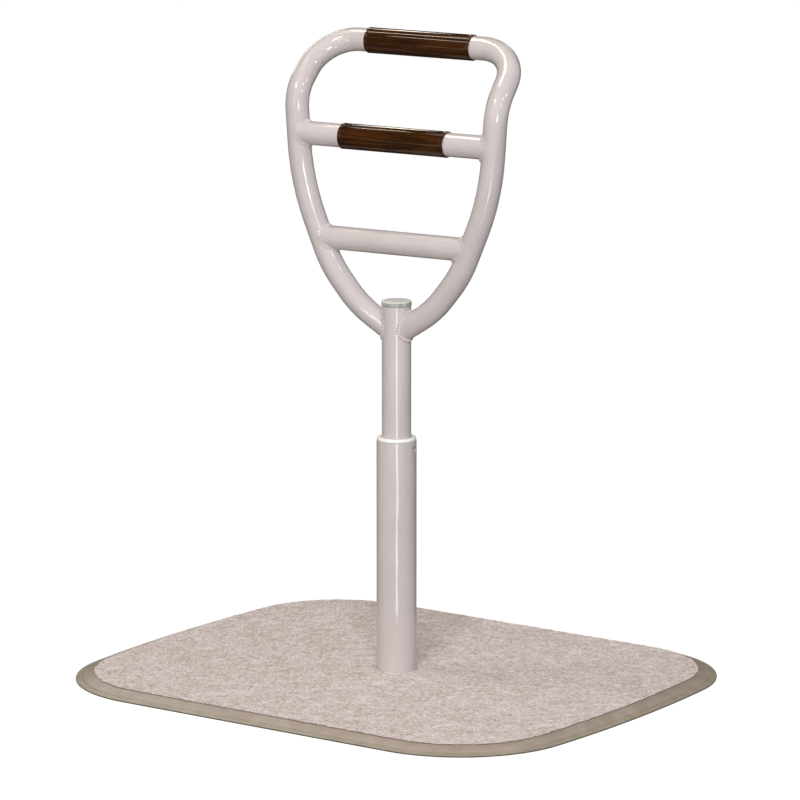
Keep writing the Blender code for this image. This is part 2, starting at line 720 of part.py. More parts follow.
def post_foot():
    """Plug in the post's lower end. Its flange carries the glide bush, and it stands on the foot
    plug at the lowest height."""
    flange = COLUMN_BORE - SLIDING_CLEARANCE
    spigot = POST_BORE - GAP
    bore = spigot - POST_FOOT_WALL
    top = POST_FOOT_TOP + POST_FOOT_SPIGOT
    profile = [(bore, top), (spigot, top), (spigot, POST_FOOT_TOP), (flange, POST_FOOT_TOP),
               (flange, POST_FOOT_BOTTOM), (bore, POST_FOOT_BOTTOM)]
    obj = turned("post_foot", profile, parent=post_axis)
    cut(obj, pin_hole("foot_pin_hole"))
    finish(obj, "white_nylon")


def retaining_pin():
    """Cross pin that holds the post's foot and keeps the glide bush down."""
    mesh = bpy.data.meshes.new("retaining_pin")
    shape = bmesh.new()
    bmesh.ops.create_cone(shape, cap_ends=True, segments=SMALL_SEGMENTS,
                          radius1=RETAINING_PIN_DIAMETER / 2, radius2=RETAINING_PIN_DIAMETER / 2,
                          depth=RETAINING_PIN_LENGTH)
    shape.to_mesh(mesh)
    shape.free()
    obj = make_object("retaining_pin", mesh, post_axis)
    obj.location.z = PIN_HEIGHT
    obj.rotation_euler.y = math.pi / 2
    finish(obj, "zinc_plate")


def post_cap():
    """Plastic cap with a hollow spigot, pushed into the top of the post."""
    bottom = INNER_POST_TOP_HEIGHT + GAP
    top = bottom + CAP_THICKNESS
    radius = POST_RADIUS + CAP_OVERHANG
    spigot = POST_BORE - GAP
    spigot_bottom = bottom - CAP_SPIGOT
    bore = spigot - CAP_WALL
    profile = [
        (0, top),
        *rounded((radius, top), (0, top), (radius, bottom), CAP_ROUND),
        (radius, bottom),
        (spigot, bottom),
        (spigot, spigot_bottom),
        (bore, spigot_bottom),
        (bore, bottom),
        (0, bottom),
    ]
    finish(turned("post_cap", profile, parent=post_axis, ring=False), "cap_grey_green")


def handle_loop():
    """One bent tube. Its two ends are coped to the post's sides, where they are welded."""
    obj = swept_tube("handle_loop", loop_centreline(), TUBE_RADIUS, TUBE_WALL, post_axis)
    cope_height = 2 * (INNER_POST_TOP_HEIGHT - LOOP_END_HEIGHT) + 2 * TUBE_DIAMETER
    cope = cylinder_cutter("loop_cope", POST_RADIUS + GAP, cope_height,
                           stand_matrix() @ Matrix.Translation((0, 0, LOOP_END_HEIGHT)))
    cut(obj, cope)
    finish(obj, "painted_steel")


def leg_half_width(height):
    """Distance of the right leg's centreline from the post's axis at a height."""
    right = filleted_path(*loop_half())
    for (x0, _, z0), (x1, _, z1) in zip(right[1:], right[2:]):
        if z1 <= height <= z0:
            return x0 + (x1 - x0) * (z0 - height) / (z0 - z1)
    return LOOP_WAIST_HALF_WIDTH


def cross_bar(name, height):
    """A straight tube between the legs, its ends coped round them."""
    half_width = leg_half_width(height)
    mesh = bpy.data.meshes.new(name)
    shape = bmesh.new()
    bmesh.ops.create_cone(shape, cap_ends=False, segments=TUBE_SIDES, radius1=TUBE_RADIUS,
                          radius2=TUBE_RADIUS, depth=2 * half_width)
    shape.to_mesh(mesh)
    shape.free()
    obj = make_object(name, mesh, post_axis)
    obj.location = (0, LOOP_LEG_OFFSET, height)
    obj.rotation_euler.y = math.pi / 2
    add_wall(obj, TUBE_WALL)
    cut(obj, loop_cope)
    finish(obj, "painted_steel")


def grip(name, lean, height):
    """A thin wood-grain vinyl sleeve on a bar, its ends rounded over."""
    bore = TUBE_RADIUS + GAP
    outer = bore + GRIP_WALL
    half = GRIP_LENGTH / 2
    profile = [
        (bore, half),
        *rounded((outer, half), (bore, half), (outer, -half), GRIP_END_ROUND),
        *rounded((outer, -half), (outer, half), (bore, -half), GRIP_END_ROUND),
        (bore, -half),
    ]
    obj = turned(name, profile, parent=post_axis)
    obj.location = (0, lean, height)
    obj.rotation_euler.y = math.pi / 2
    finish(obj, "wood_grain_vinyl")


clear_scene()
parts = make_collection(COLLECTION)
cutters = make_collection(CUTTER_COLLECTION)
materials = {name: make_material(name) for name in FINISHES}

# Guides: the turned stand, the post's axis and the set screw's axis
stand = make_empty("stand", rotation=(0, 0, math.radians(STAND_YAW_DEG)))
post_axis = make_empty("post_axis", parent=stand)
lock_axis = make_empty("lock_axis", (COLUMN_RADIUS, 0, LOCK_HEIGHT), (0, math.pi / 2, 0), stand)

# Floor plate
anti_slip_sheet()
base_plate()
carpet()
edge_trim()

# Fixed column
outer_column()
column_foot_plug()
foot_screws()
guide_bush()
lock_nut()

# Clamp
lock_screw()
lock_screw_tip()

# Sliding and turning post
glide_bush()
inner_post()
post_foot()
retaining_pin()
post_cap()

# Handle on the post
loop_cope = hide_cutter(swept_rod("bar_cope", loop_centreline(), TUBE_RADIUS + GAP, post_axis,
                                  cutters))
handle_loop()
cross_bar("middle_bar", MIDDLE_BAR_HEIGHT)
cross_bar("lower_bar", LOWER_BAR_HEIGHT)
grip("top_grip", LOOP_TOP_LEAN, LOOP_TOP_HEIGHT)
grip("middle_grip", LOOP_LEG_OFFSET, MIDDLE_BAR_HEIGHT)
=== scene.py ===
# %% [markdown]
# # A standing support handle
# This script dresses a finished CAD frame for a picture. The object is a free-standing handle: a
# carpeted floor plate, a painted post in two tubes that slide and turn in each other, and a loop
# of bent tube with two dark wood-grain grips. Each step below names a piece of the real object,
# says how such a piece could be modelled, and why it is modelled the way it is here.

# %% Load the frame
import math

import bmesh
import bpy
from mathutils import Matrix, Vector, noise


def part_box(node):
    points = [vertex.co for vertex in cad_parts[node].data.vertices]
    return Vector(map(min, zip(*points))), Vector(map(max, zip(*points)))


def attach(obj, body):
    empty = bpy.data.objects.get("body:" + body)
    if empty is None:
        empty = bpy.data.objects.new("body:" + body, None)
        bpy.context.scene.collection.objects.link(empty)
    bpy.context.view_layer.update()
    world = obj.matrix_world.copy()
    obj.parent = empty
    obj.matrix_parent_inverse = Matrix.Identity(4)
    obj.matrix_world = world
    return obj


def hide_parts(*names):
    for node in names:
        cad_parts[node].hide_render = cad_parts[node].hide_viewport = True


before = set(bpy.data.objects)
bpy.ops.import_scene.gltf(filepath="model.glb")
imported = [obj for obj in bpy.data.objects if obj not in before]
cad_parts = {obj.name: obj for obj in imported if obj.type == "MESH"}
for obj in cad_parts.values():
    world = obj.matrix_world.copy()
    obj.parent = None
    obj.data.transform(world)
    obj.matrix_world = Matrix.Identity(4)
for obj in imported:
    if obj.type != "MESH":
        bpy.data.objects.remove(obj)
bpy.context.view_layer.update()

# %% [markdown]
# ## The camera
# The photograph was taken with a long lens from more than six metres away, at eye height, in
# front and to the right. The camera could be placed by eye, but four known things settle it: the
# plate's outline, the post's upright sides, the bars' vanishing point and the tubes' widths.
# Azimuth is turned from the -Y side towards +X.

# %% Camera
VIEW_TARGET = Vector((0, 0, 0.34405))
VIEW_DISTANCE = 6.6592
VIEW_AZIMUTH = math.radians(35.396)
VIEW_ELEVATION = math.radians(11.501)


def direction(azimuth, elevation):
    """Unit vector from the object towards something at an azimuth and an elevation."""
    level = math.cos(elevation)
    return Vector((math.sin(azimuth) * level, -math.cos(azimuth) * level, math.sin(elevation)))


camera = bpy.data.objects.new("camera", bpy.data.cameras.new("camera"))
bpy.context.scene.collection.objects.link(camera)
to_camera = direction(VIEW_AZIMUTH, VIEW_ELEVATION)
camera.location = VIEW_TARGET + VIEW_DISTANCE * to_camera
camera.rotation_euler = to_camera.to_track_quat("Z", "Y").to_euler()
camera.data.sensor_width = 36
camera.data.lens = 247.8
camera.data.shift_x = 0.0043
camera.data.clip_end = 100
bpy.context.scene.camera = camera
bpy.context.scene.view_settings.view_transform = "Standard"
print("camera at", [round(value, 3) for value in camera.location])

# %% [markdown]
# ## Tools for materials
# Every finish here is built from nodes. One function adds a node, sets its sockets and links
# them, and another turns the hex colours that paint cards and image editors use into the linear
# numbers that Blender works in. Each finish starts from its shader and ends with a coat, which
# links the pattern's colour and its relief.

# %% Material tools
MM = 0.001


def linear(hex_colour):
    """An sRGB hex colour such as 'c9b9b1' as linear red, green, blue and alpha."""
    channels = [int(hex_colour[i:i + 2], 16) / 255 for i in (0, 2, 4)]
    return [c / 12.92 if c <= 0.04045 else ((c + 0.055) / 1.055) ** 2.4 for c in channels] + [1]


def add(tree, kind, sockets, ramp=(), **settings):
    """Adds a node. Sockets are values, outputs to link, or nodes whose first output is linked;
    ramp is a list of place and colour."""
    made = tree.nodes.new("ShaderNode" + kind)
    for name, value in settings.items():
        setattr(made, name, value)
    for name, value in sockets.items():
        if isinstance(value, bpy.types.Node):
            value = value.outputs[0]
        if isinstance(value, bpy.types.NodeSocket):
            tree.links.new(value, made.inputs[name])
        else:
            made.inputs[name].default_value = value
    for number, (place, colour) in enumerate(ramp):
        stops = made.color_ramp.elements
        stop = stops[number] if number < 2 else stops.new(place)
        stop.position, stop.color = place, linear(colour)
    return made


def start_material(name, roughness, metallic=0.0, **sockets):
    """A material with its Principled shader, and the object coordinates to draw patterns on."""
    material = bpy.data.materials.new(name)
    material.use_nodes = True
    shader = material.node_tree.nodes["Principled BSDF"]
    for key, value in {"Roughness": roughness, "Metallic": metallic, **sockets}.items():
        shader.inputs[key].default_value = value
    place = add(material.node_tree, "TexCoord", {}).outputs["Object"]
    return material, material.node_tree, shader, place


def coat(shader, colour, relief):
    """Links the colour of a pattern and the bump node of its relief to a shader."""
    links = shader.id_data.links
    links.new(colour, shader.inputs["Base Color"])
    links.new(relief.outputs[0], shader.inputs["Normal"])


# %% [markdown]
# ## Enamel
# The tubes are sprayed with a pale, slightly pinkish grey enamel and baked. Gloss enamel is smooth
# but never quite flat: it flows into a faint orange peel, a couple of millimetres across, which
# makes the edges of reflections waver. Its colour hardly changes, only a little with thickness.

# %% Enamel
ORANGE_PEEL = 2.2 * MM
PAINT_CLOUD = 45 * MM

enamel, tree, shader, place = start_material("sprayed_gloss_enamel", 0.08)
peel = add(tree, "TexNoise", {"Vector": place, "Scale": 1 / ORANGE_PEEL, "Detail": 1})
cloud = add(tree, "TexNoise", {"Vector": place, "Scale": 1 / PAINT_CLOUD, "Detail": 2})
tint = add(tree, "ValToRGB", {"Fac": cloud}, [(0.3, "c9c0bf"), (0.7, "cfc6c5")])
bump = add(tree, "Bump", {"Height": peel, "Strength": 0.25, "Distance": 0.05 * MM})
coat(shader, tint.outputs[0], bump)
print("enamel: peel", ORANGE_PEEL, "m")

# %% [markdown]
# ## Needle felt
# The plate is covered with needle-felt carpet: long synthetic fibres of several beige and
# pinkish shades, lying in all directions and punched into a mat. Single fibres are 0.05 mm thick,
# which no picture of this size shows, so what is drawn is the wisps they form, 2 mm wide and
# 16 mm long. One stretched noise makes the wisps of one direction, and four of them, a
# quarter of a half-turn apart, make the heather. Seen low across the plate, wisps that point at
# the eye stay distinct while the others merge, as they do in real felt.

# %% Needle felt
WISP_WIDTH = 2.0 * MM
WISP_LENGTH = 16 * MM
TUFT = 5 * MM
CLOUD = 26 * MM
WISP_DIRECTIONS = 4

felt, tree, shader, place = start_material(
    "needle_felt", 0.95, **{"Sheen Weight": 0.15, "Sheen Roughness": 0.6,
                            "Specular IOR Level": 0.15})
wisps = 0
for number in range(WISP_DIRECTIONS):
    turn = number * math.pi / WISP_DIRECTIONS
    along = add(tree, "Mapping", {"Vector": place, "Rotation": (0, 0, turn)})
    stretched = add(tree, "Mapping", {"Vector": along, "Location": (0, 0, number), "Scale": (
        1 / WISP_LENGTH, 1 / WISP_WIDTH, 1 / WISP_WIDTH)})
    wisp = add(tree, "TexNoise", {"Vector": stretched, "Scale": 1, "Detail": 2})
    wisps = add(tree, "Math", {0: wisps, 1: wisp}, operation="ADD")
wisps = add(tree, "Math", {0: wisps, 1: WISP_DIRECTIONS}, operation="DIVIDE")
tuft = add(tree, "TexNoise", {"Vector": place, "Scale": 1 / TUFT, "Detail": 3, "Roughness": 0.7})
cloud = add(tree, "TexNoise", {"Vector": place, "Scale": 1 / CLOUD, "Detail": 3})
heather = add(tree, "ValToRGB", {"Fac": wisps},
              [(0.42, "75635d"), (0.58, "fffefd"), (0.475, "bfada7"), (0.525, "e3d4d0")])
tufts = add(tree, "ValToRGB", {"Fac": tuft}, [(0.38, "98847f"), (0.62, "fff6f4"), (0.5, "d6c4c0")])
patches = add(tree, "ValToRGB", {"Fac": cloud}, [(0.35, "bfb0a4"), (0.65, "e6d6d8")])
colour = add(tree, "Mix", {0: 0.3, 6: heather, 7: tufts}, data_type="RGBA")
colour = add(tree, "Mix", {0: 0.32, 6: colour.outputs[2], 7: patches}, data_type="RGBA")
pile = add(tree, "Math", {0: wisps, 1: tuft}, operation="ADD")
bump = add(tree, "Bump", {"Height": pile, "Strength": 0.8, "Distance": 1.6 * MM})
coat(shader, colour.outputs[2], bump)
print("needle felt: wisps", WISP_WIDTH, "by", WISP_LENGTH, "m")

# %% [markdown]
# ## Vinyl edging
# The ramp round the plate is extruded soft vinyl, olive grey. Extruding leaves it satin and very
# even; handling and feet add slightly duller, dustier patches. The colour also follows the height:
# a painted shade darkens the lip's foot along the floor, and the crest is a little greyer.

# %% Vinyl edging
DUST = 18 * MM
VINYL_GRAIN = 0.9 * MM
CREST_HEIGHT = 9 * MM

edging_vinyl, tree, shader, place = start_material(
    "extruded_soft_vinyl", 0.4, **{"Specular IOR Level": 0.4})
dust = add(tree, "TexNoise", {"Vector": place, "Scale": 1 / DUST, "Detail": 5})
grain = add(tree, "TexNoise", {"Vector": place, "Scale": 1 / VINYL_GRAIN, "Detail": 2})
axes = add(tree, "SeparateXYZ", {"Vector": place})
height = add(tree, "Math", {0: axes.outputs["Z"], 1: CREST_HEIGHT}, operation="DIVIDE")
tint = add(tree, "ValToRGB", {"Fac": dust}, [(0.35, "a39588"), (0.65, "b0a396")])
# Painted shade: dark along the lip's foot at the floor, nearly white above it, a little greyer at the
# crest
painted_shade_by_height = add(tree, "ValToRGB", {"Fac": height},
            [(0.02, "5f5e5b"), (1.0, "ece9e7"), (0.12, "75736e"), (0.17, "f4f7f0"),
             (0.36, "f6f8f2"), (0.42, "fffefc")])
colour = add(tree, "Mix", {0: 1.0, 6: tint, 7: painted_shade_by_height}, data_type="RGBA", blend_type="MULTIPLY")
bump = add(tree, "Bump", {"Height": grain, "Strength": 0.3, "Distance": 0.08 * MM})
coat(shader, colour.outputs[2], bump)
print("edging vinyl: dust", DUST, "m")

# %% [markdown]
# ## Moulded plastics
# The ring in the column's mouth is natural nylon, milky and slightly translucent, turned smooth.
# The cap is a grey-green moulded polyethylene, a little mottled. Both get a trace of
# subsurface scattering, which softens their shaded side the way such plastics do.

# %% Nylon and polyethylene
MOULD_GRAIN = 0.7 * MM


def plastic(name, low, high, patch, roughness, soft, gloss):
    """A moulded plastic: two close colours in patches, and a very fine moulded grain."""
    material, tree, shader, place = start_material(
        name, roughness, **{"Subsurface Weight": soft, "Subsurface Scale": 2 * MM,
                            "Specular IOR Level": gloss})
    mottle = add(tree, "TexNoise", {"Vector": place, "Scale": 1 / patch, "Detail": 4})
    grain = add(tree, "TexNoise", {"Vector": place, "Scale": 1 / MOULD_GRAIN, "Detail": 2})
    tint = add(tree, "ValToRGB", {"Fac": mottle}, [(0.35, low), (0.65, high)])
    bump = add(tree, "Bump", {"Height": grain, "Strength": 0.2, "Distance": 0.05 * MM})
    coat(shader, tint.outputs[0], bump)
    return material


nylon = plastic("turned_natural_nylon", "fbf9f7", "fffefd", 12 * MM, 0.35, 0.1, 0.5)
cap_plastic = plastic("moulded_polyethylene", "93948a", "bfbeb5", 5 * MM, 0.5, 0.05, 0.3)

# Painted light: the cap's top, above its rounded corner, is painted paler, as if lit from above
CAP_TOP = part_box("post_cap")[1].z
LIT_TOP_STARTS, LIT_TOP_ENDS = CAP_TOP - 1.4 * MM, CAP_TOP - 0.2 * MM
tree = cap_plastic.node_tree
shader = tree.nodes["Principled BSDF"]
axes = add(tree, "SeparateXYZ", {"Vector": tree.nodes["Texture Coordinate"].outputs["Object"]})
painted_top_light = add(tree, "MapRange", {
    "Value": axes.outputs["Z"], "From Min": LIT_TOP_STARTS, "From Max": LIT_TOP_ENDS, "To Max": 0.75})
pale = add(tree, "Mix", {0: painted_top_light, 7: linear("f2f1ea"),
                         6: shader.inputs["Base Color"].links[0].from_socket}, data_type="RGBA")
tree.links.new(pale.outputs[2], shader.inputs["Base Color"])
print("plastics:", nylon.name, cap_plastic.name)

# %% [markdown]
# ## Wood-grain vinyl
# The grips are vinyl sleeves printed like dark polished rosewood and lacquered: long, narrow
# streaks of red brown and near black that run along the bar, under a clear gloss. A wave texture
# makes rings too regular, so noise is used, stretched nearly forty times along the sleeve, with a
# broader figure over it. The stand is turned on its plate, so the pattern is turned with it.

# %% Wood-grain vinyl
STAND_YAW = math.radians(6.3)
STREAK_WIDTH = 2.2 * MM
STREAK_LENGTH = 80 * MM
FIGURE_WIDTH = 9 * MM
FIGURE_LENGTH = 40 * MM

grip_vinyl, tree, shader, place = start_material("lacquered_wood_grain_vinyl", 0.05)
along = add(tree, "Mapping", {"Vector": place, "Rotation": (0, 0, -STAND_YAW)})
streaks = add(tree, "Mapping", {"Vector": along, "Scale": (
    1 / STREAK_LENGTH, 1 / STREAK_WIDTH, 1 / STREAK_WIDTH)})
figure = add(tree, "Mapping", {"Vector": along, "Scale": (
    1 / FIGURE_LENGTH, 1 / FIGURE_WIDTH, 1 / FIGURE_WIDTH)})
fine = add(tree, "TexNoise", {"Vector": streaks, "Scale": 1, "Detail": 5,
                              "Roughness": 0.6, "Distortion": 0.4})
broad = add(tree, "TexNoise", {"Vector": figure, "Scale": 1, "Detail": 3,
                               "Distortion": 0.8})
grain = add(tree, "ValToRGB", {"Fac": fine},
            [(0.36, "1d0f05"), (0.66, "5c300e"), (0.48, "341c09"), (0.56, "41240b")])
shadow = add(tree, "ValToRGB", {"Fac": broad}, [(0.4, "231205"), (0.62, "44260c")])
wood = add(tree, "Mix", {0: 0.4, 6: grain, 7: shadow}, data_type="RGBA")
bump = add(tree, "Bump", {"Height": fine, "Strength": 0.05, "Distance": 0.06 * MM})
coat(shader, wood.outputs[2], bump)
print("wood grain: streaks", STREAK_WIDTH, "by", STREAK_LENGTH, "m")

# %% [markdown]
# ## Metals and rubber
# The hidden and nearly hidden parts are oxide-black screws, a zinc-plated plate, a brass tip and
# a black rubber sheet. Each needs only its base colour, its metallic value and a patina: plating
# and oxide vary in patches of a few millimetres, rubber has a fine cloth-like grain.

# %% Metals and rubber
def patinated(name, low, high, patch, roughness, metallic, depth):
    """A material whose colour and relief vary in patches of one size."""
    material, tree, shader, place = start_material(name, roughness, metallic)
    patina = add(tree, "TexNoise", {"Vector": place, "Scale": 1 / patch, "Detail": 6,
                                    "Roughness": 0.6})
    tint = add(tree, "ValToRGB", {"Fac": patina}, [(0.35, low), (0.65, high)])
    rough = add(tree, "MapRange", {"Value": patina, "To Min": roughness - 0.08,
                                   "To Max": roughness + 0.08})
    bump = add(tree, "Bump", {"Height": patina, "Strength": 0.3, "Distance": depth})
    tree.links.new(rough.outputs[0], shader.inputs["Roughness"])
    coat(shader, tint.outputs[0], bump)
    return material


oxide_steel = patinated("black_oxide_steel", "16130f", "2e2924", 1.5 * MM, 0.4, 1, 0.03 * MM)
zinc_steel = patinated("zinc_plated_steel", "9c9fa3", "c2c4c6", 6 * MM, 0.4, 1, 0.03 * MM)
brass = patinated("turned_brass", "b58a3c", "d0a658", 3 * MM, 0.3, 1, 0.02 * MM)
rubber = patinated("ribbed_rubber", "181818", "262524", 1.2 * MM, 0.85, 0, 0.2 * MM)
print("metals and rubber:", oxide_steel.name, zinc_steel.name, brass.name, rubber.name)

# %% [markdown]
# ## Tools for pieces
# Pieces are made at their real place on an unturned stand, and the stand's 6.3 degree turn is
# applied to the mesh last, so that every object stays at the origin. One function finishes them
# all: it gives the finish, shades the piece smooth but for real corners, hangs it on the empty of
# the body that carries it, and hides the CAD solids it stands for.

# %% Piece tools
STAND = Matrix.Rotation(STAND_YAW, 4, "Z")
UPRIGHT = Matrix.Identity(4)
ALONG_X = Matrix.Rotation(math.pi / 2, 4, "Y")
SHARP = math.radians(38)
SAME_PLACE = 0.002 * MM


def verts_of(geometry):
    return [part for part in geometry if isinstance(part, bmesh.types.BMVert)]


def edges_of(geometry):
    return [part for part in geometry if isinstance(part, bmesh.types.BMEdge)]


def tidy(shape):
    """Merges doubled points and turns all faces outwards."""
    bmesh.ops.remove_doubles(shape, verts=shape.verts, dist=SAME_PLACE)
    bmesh.ops.recalc_face_normals(shape, faces=shape.faces)


def as_object(name, shape, matrix=UPRIGHT):
    bmesh.ops.transform(shape, matrix=matrix, verts=shape.verts)
    mesh = bpy.data.meshes.new(name)
    shape.to_mesh(mesh)
    shape.free()
    made = bpy.data.objects.new(name, mesh)
    bpy.context.scene.collection.objects.link(made)
    return made


def finished(name, shape, body, material, nodes=(), matrix=STAND):
    """Makes the object of a piece, hangs it on its body's empty and hides the CAD solids it stands
    for.
    """
    piece = shape if isinstance(shape, bpy.types.Object) else as_object(name, shape, matrix)
    piece.data.materials.clear()
    piece.data.materials.append(material)
    piece.data.shade_smooth()
    piece.data.set_sharp_from_angle(angle=SHARP)
    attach(piece, body)
    if nodes:
        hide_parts(*nodes)
    print(f"{name}: {len(piece.data.polygons)} faces on {body}")
    return piece


def cut(piece, shape, place):
    """Cuts a shape, put at a place, out of a piece, and takes the cutter away."""
    cutter = as_object("cutter", shape, place)
    modifier = piece.modifiers.new("drill", "BOOLEAN")
    modifier.operation, modifier.solver, modifier.object = "DIFFERENCE", "EXACT", cutter
    graph = bpy.context.evaluated_depsgraph_get()
    mesh = bpy.data.meshes.new_from_object(piece.evaluated_get(graph))
    piece.modifiers.clear()
    piece.data = mesh
    bpy.data.objects.remove(cutter)


def drilled(piece, radius, sides, depth, place):
    """Cuts a round hole along the Z axis of a place."""
    bit = bmesh.new()
    bmesh.ops.create_cone(bit, cap_ends=True, segments=sides, radius1=radius, radius2=radius,
                          depth=depth)
    cut(piece, bit, place)


def mid_height(node):
    low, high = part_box(node)
    return (low.z + high.z) / 2


# %% [markdown]
# ## The lathe
# Ring, cap, posts and sleeves are all round, so each is a profile turned about an axis, as on a
# lathe: a few corners, rounded where the real edge is rounded, and one full spin. Starting from a
# cylinder and bevelling it also works, but a profile holds the real sizes in one list.

# %% The lathe
ROUND_STEPS = 96


def rounded(shape, corners, rounds, segments):
    """Rounds the corners of a section that a list names by number, each by its own offset."""
    for number, offset in rounds.items():
        bmesh.ops.bevel(shape, geom=[corners[number]], offset=offset, offset_type="OFFSET",
                        segments=segments, profile=0.5, affect="VERTICES", material=-1)


def turned(profile, rounds):
    """Spins (radius, height) corners about Z. A profile that doesn't start there is closed."""
    shape = bmesh.new()
    corners = [shape.verts.new((radius, 0, height)) for radius, height in profile]
    ends = corners[1:] + corners[:1] if profile[0][0] > 0 else corners[1:]
    for here, there in zip(corners, ends):
        shape.edges.new((here, there))
    rounded(shape, corners, rounds, 6)
    bmesh.ops.spin(shape, geom=shape.verts[:] + shape.edges[:], cent=(0, 0, 0), axis=(0, 0, 1),
                   dvec=(0, 0, 0), angle=2 * math.pi, steps=ROUND_STEPS, use_merge=True,
                   use_normal_flip=False, use_duplicate=False)
    tidy(shape)
    return shape


# %% [markdown]
# ## Drawing a section along a line
# The edging is one section pushed along the plate's outline, and the handle is one circle pushed
# along straights and bends, as on a tube bender. A curve with a bevel does this too, but it rounds
# a bend by cutting its chords. Extruding the straights and spinning the bends keeps each
# bend a true arc with its real centre and radius.

# %% Drawing a section
def circle(shape, sides, radius, matrix=UPRIGHT):
    """Adds a ring of edges round Z. Returns its points and edges."""
    ring = bmesh.ops.create_circle(shape, cap_ends=False, segments=sides, radius=radius,
                                   matrix=matrix)["verts"]
    return ring + [edge for edge in shape.edges if edge.verts[0] in ring]


def straight(shape, section, move=(0, 0, 0)):
    """Extrudes a section (edges, or one vertex) and moves it. Returns the new section."""
    if edges_of(section):
        new = bmesh.ops.extrude_edge_only(shape, edges=edges_of(section))["geom"]
    else:
        new = bmesh.ops.extrude_vert_indiv(shape, verts=section)["verts"]
    bmesh.ops.translate(shape, verts=verts_of(new), vec=move)
    return verts_of(new) + edges_of(new)


def bend(shape, section, centre, axis, angle, steps):
    """Spins a section round a bend's centre. Returns the new section."""
    return bmesh.ops.spin(shape, geom=section, cent=centre, axis=axis, dvec=(0, 0, 0),
                          angle=angle, steps=steps, use_merge=False, use_normal_flip=False,
                          use_duplicate=False)["geom_last"]


def mirrored(shape):
    """Adds the mirror image across X = 0, joined where the two halves meet."""
    bmesh.ops.mirror(shape, geom=shape.verts[:] + shape.edges[:] + shape.faces[:],
                     matrix=UPRIGHT, merge_dist=SAME_PLACE, axis="X")


# %% [markdown]
# ## The plate's outline
# Seen from above the plate is a rectangle with big round corners, and its short ends bow out by
# 6.6 mm. Each half of that line is a straight, a corner, the bowed end, another corner and a
# straight, so it is made from a point, extruded and spun, and mirrored.

# %% The plate's outline
plate_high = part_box("edge_trim")[1]
CORNER_RADIUS = 149 * MM
END_BOW = 6.6 * MM
EDGING_WIDTH = 25 * MM
TOUCHING = 0.3 * MM
half_length = plate_high.x - CORNER_RADIUS
half_width = plate_high.y - CORNER_RADIUS
bow_radius = (half_width ** 2 + END_BOW ** 2) / (2 * END_BOW)
bow_angle = math.asin(half_width / bow_radius)
bow_centre = half_length - bow_radius
corner_x = bow_centre + bow_radius * math.cos(bow_angle)
UP = (0, 0, 1)


def along_outline(shape, section, start_x, corner_steps, end_steps):
    """Draws a section from the middle of the back side round the left half to the front."""
    quarter = math.pi / 2 - bow_angle
    section = straight(shape, section, (start_x - corner_x, 0, 0))
    section = bend(shape, section, (-corner_x, half_width, 0), UP, quarter, corner_steps)
    section = bend(shape, section, (-bow_centre, 0, 0), UP, 2 * bow_angle, end_steps)
    section = bend(shape, section, (-corner_x, -half_width, 0), UP, quarter, corner_steps)
    return straight(shape, section, (corner_x, 0, 0))


print("outline: corner centres at", round(corner_x, 4), round(half_width, 4))

# %% [markdown]
# ## The vinyl edging
# The edging hides the plate's sharp rim and makes a ramp that a foot or a wheel doesn't catch on.
# Its section has a tongue under the plate, a rounded crest, a long ramp with one groove, and a
# thin lip on the floor. The section is drawn once as a face, its corners are rounded with a vertex
# bevel, and it goes round the outline. Both ends meet in a butt joint at the middle of the back.

# %% Edging
carpet_low, carpet_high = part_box("carpet")
CREST = carpet_high.z - 1.3 * MM
OUTER = EDGING_WIDTH - TOUCHING
TOE, TOE_TOP = OUTER - 7.5 * MM, 3.5 * MM
SECTION = [
    (-8 * MM, 0), (OUTER, 0), (OUTER, 1.3 * MM), (TOE, TOE_TOP),
    (TOE - 0.6 * MM, TOE_TOP - 0.7 * MM), (TOE - 1.2 * MM, TOE_TOP + 0.23 * MM),
    (2.0 * MM, CREST), (0, CREST), (0, 1.8 * MM), (-8 * MM, 1.8 * MM),
]
SECTION_ROUNDS = {2: 0.6 * MM, 3: 0.35 * MM, 4: 0.25 * MM, 5: 0.35 * MM, 6: 1.4 * MM,
                  7: 0.3 * MM}
JOINT_GAP = 0.4 * MM
rim = half_width + CORNER_RADIUS - EDGING_WIDTH + TOUCHING

edging = bmesh.new()
corners = [edging.verts.new((-JOINT_GAP / 2, rim + out, height)) for out, height in SECTION]
edging.faces.new(corners)
rounded(edging, corners, SECTION_ROUNDS, 4)
bmesh.ops.delete(edging, geom=edging.faces[:], context="FACES_ONLY")
along_outline(edging, edging.verts[:] + edging.edges[:], JOINT_GAP / 2, corner_steps=30,
              end_steps=16)
mirrored(edging)
bmesh.ops.holes_fill(edging, edges=[edge for edge in edging.edges if edge.is_boundary])
tidy(edging)
finished("ramp_edging", edging, "base", edging_vinyl, ["edge_trim"], UPRIGHT)

# %% [markdown]
# ## The carpet
# The felt is cut to the plate's shape and glued down, with a round hole for the post. Its top is
# flat, but the cut edge isn't: it stands 1.3 mm above the edging, and fibres lean out over it by a
# millimetre here and there. So the rim is divided every 1.3 mm and drawn up in six rings, and noise
# moves each point of a ring in and out. The flat top inside is filled with triangles.

# %% Carpet
FELT_OFFSET = CORNER_RADIUS - EDGING_WIDTH
RIM_STEP = 1.3 * MM
POST_HOLE = 24.8 * MM
LOOSE_FIBRES, LOOSE_TUFTS, RIM_BUMPS = 2.3 * MM, 8 * MM, 1.7 * MM
PILE_RINGS = [
    # offset outwards in mm, height as a share of the felt's, and how far points wander
    (0.00, 0.00, 0.10), (0.05, 0.50, 0.15), (1.10, 0.76, 0.90), (0.90, 0.88, 0.90),
    (-0.30, 0.97, 0.40), (-1.60, 1.00, 0.15), (-3.00, 1.00, 0.0),
]


def outwards(point):
    """Direction out of the plate at a point of its outline."""
    inner = Vector((max(-corner_x, min(corner_x, point.x)),
                    max(-half_width, min(half_width, point.y)), 0))
    return (Vector((point.x, point.y, 0)) - inner).normalized()


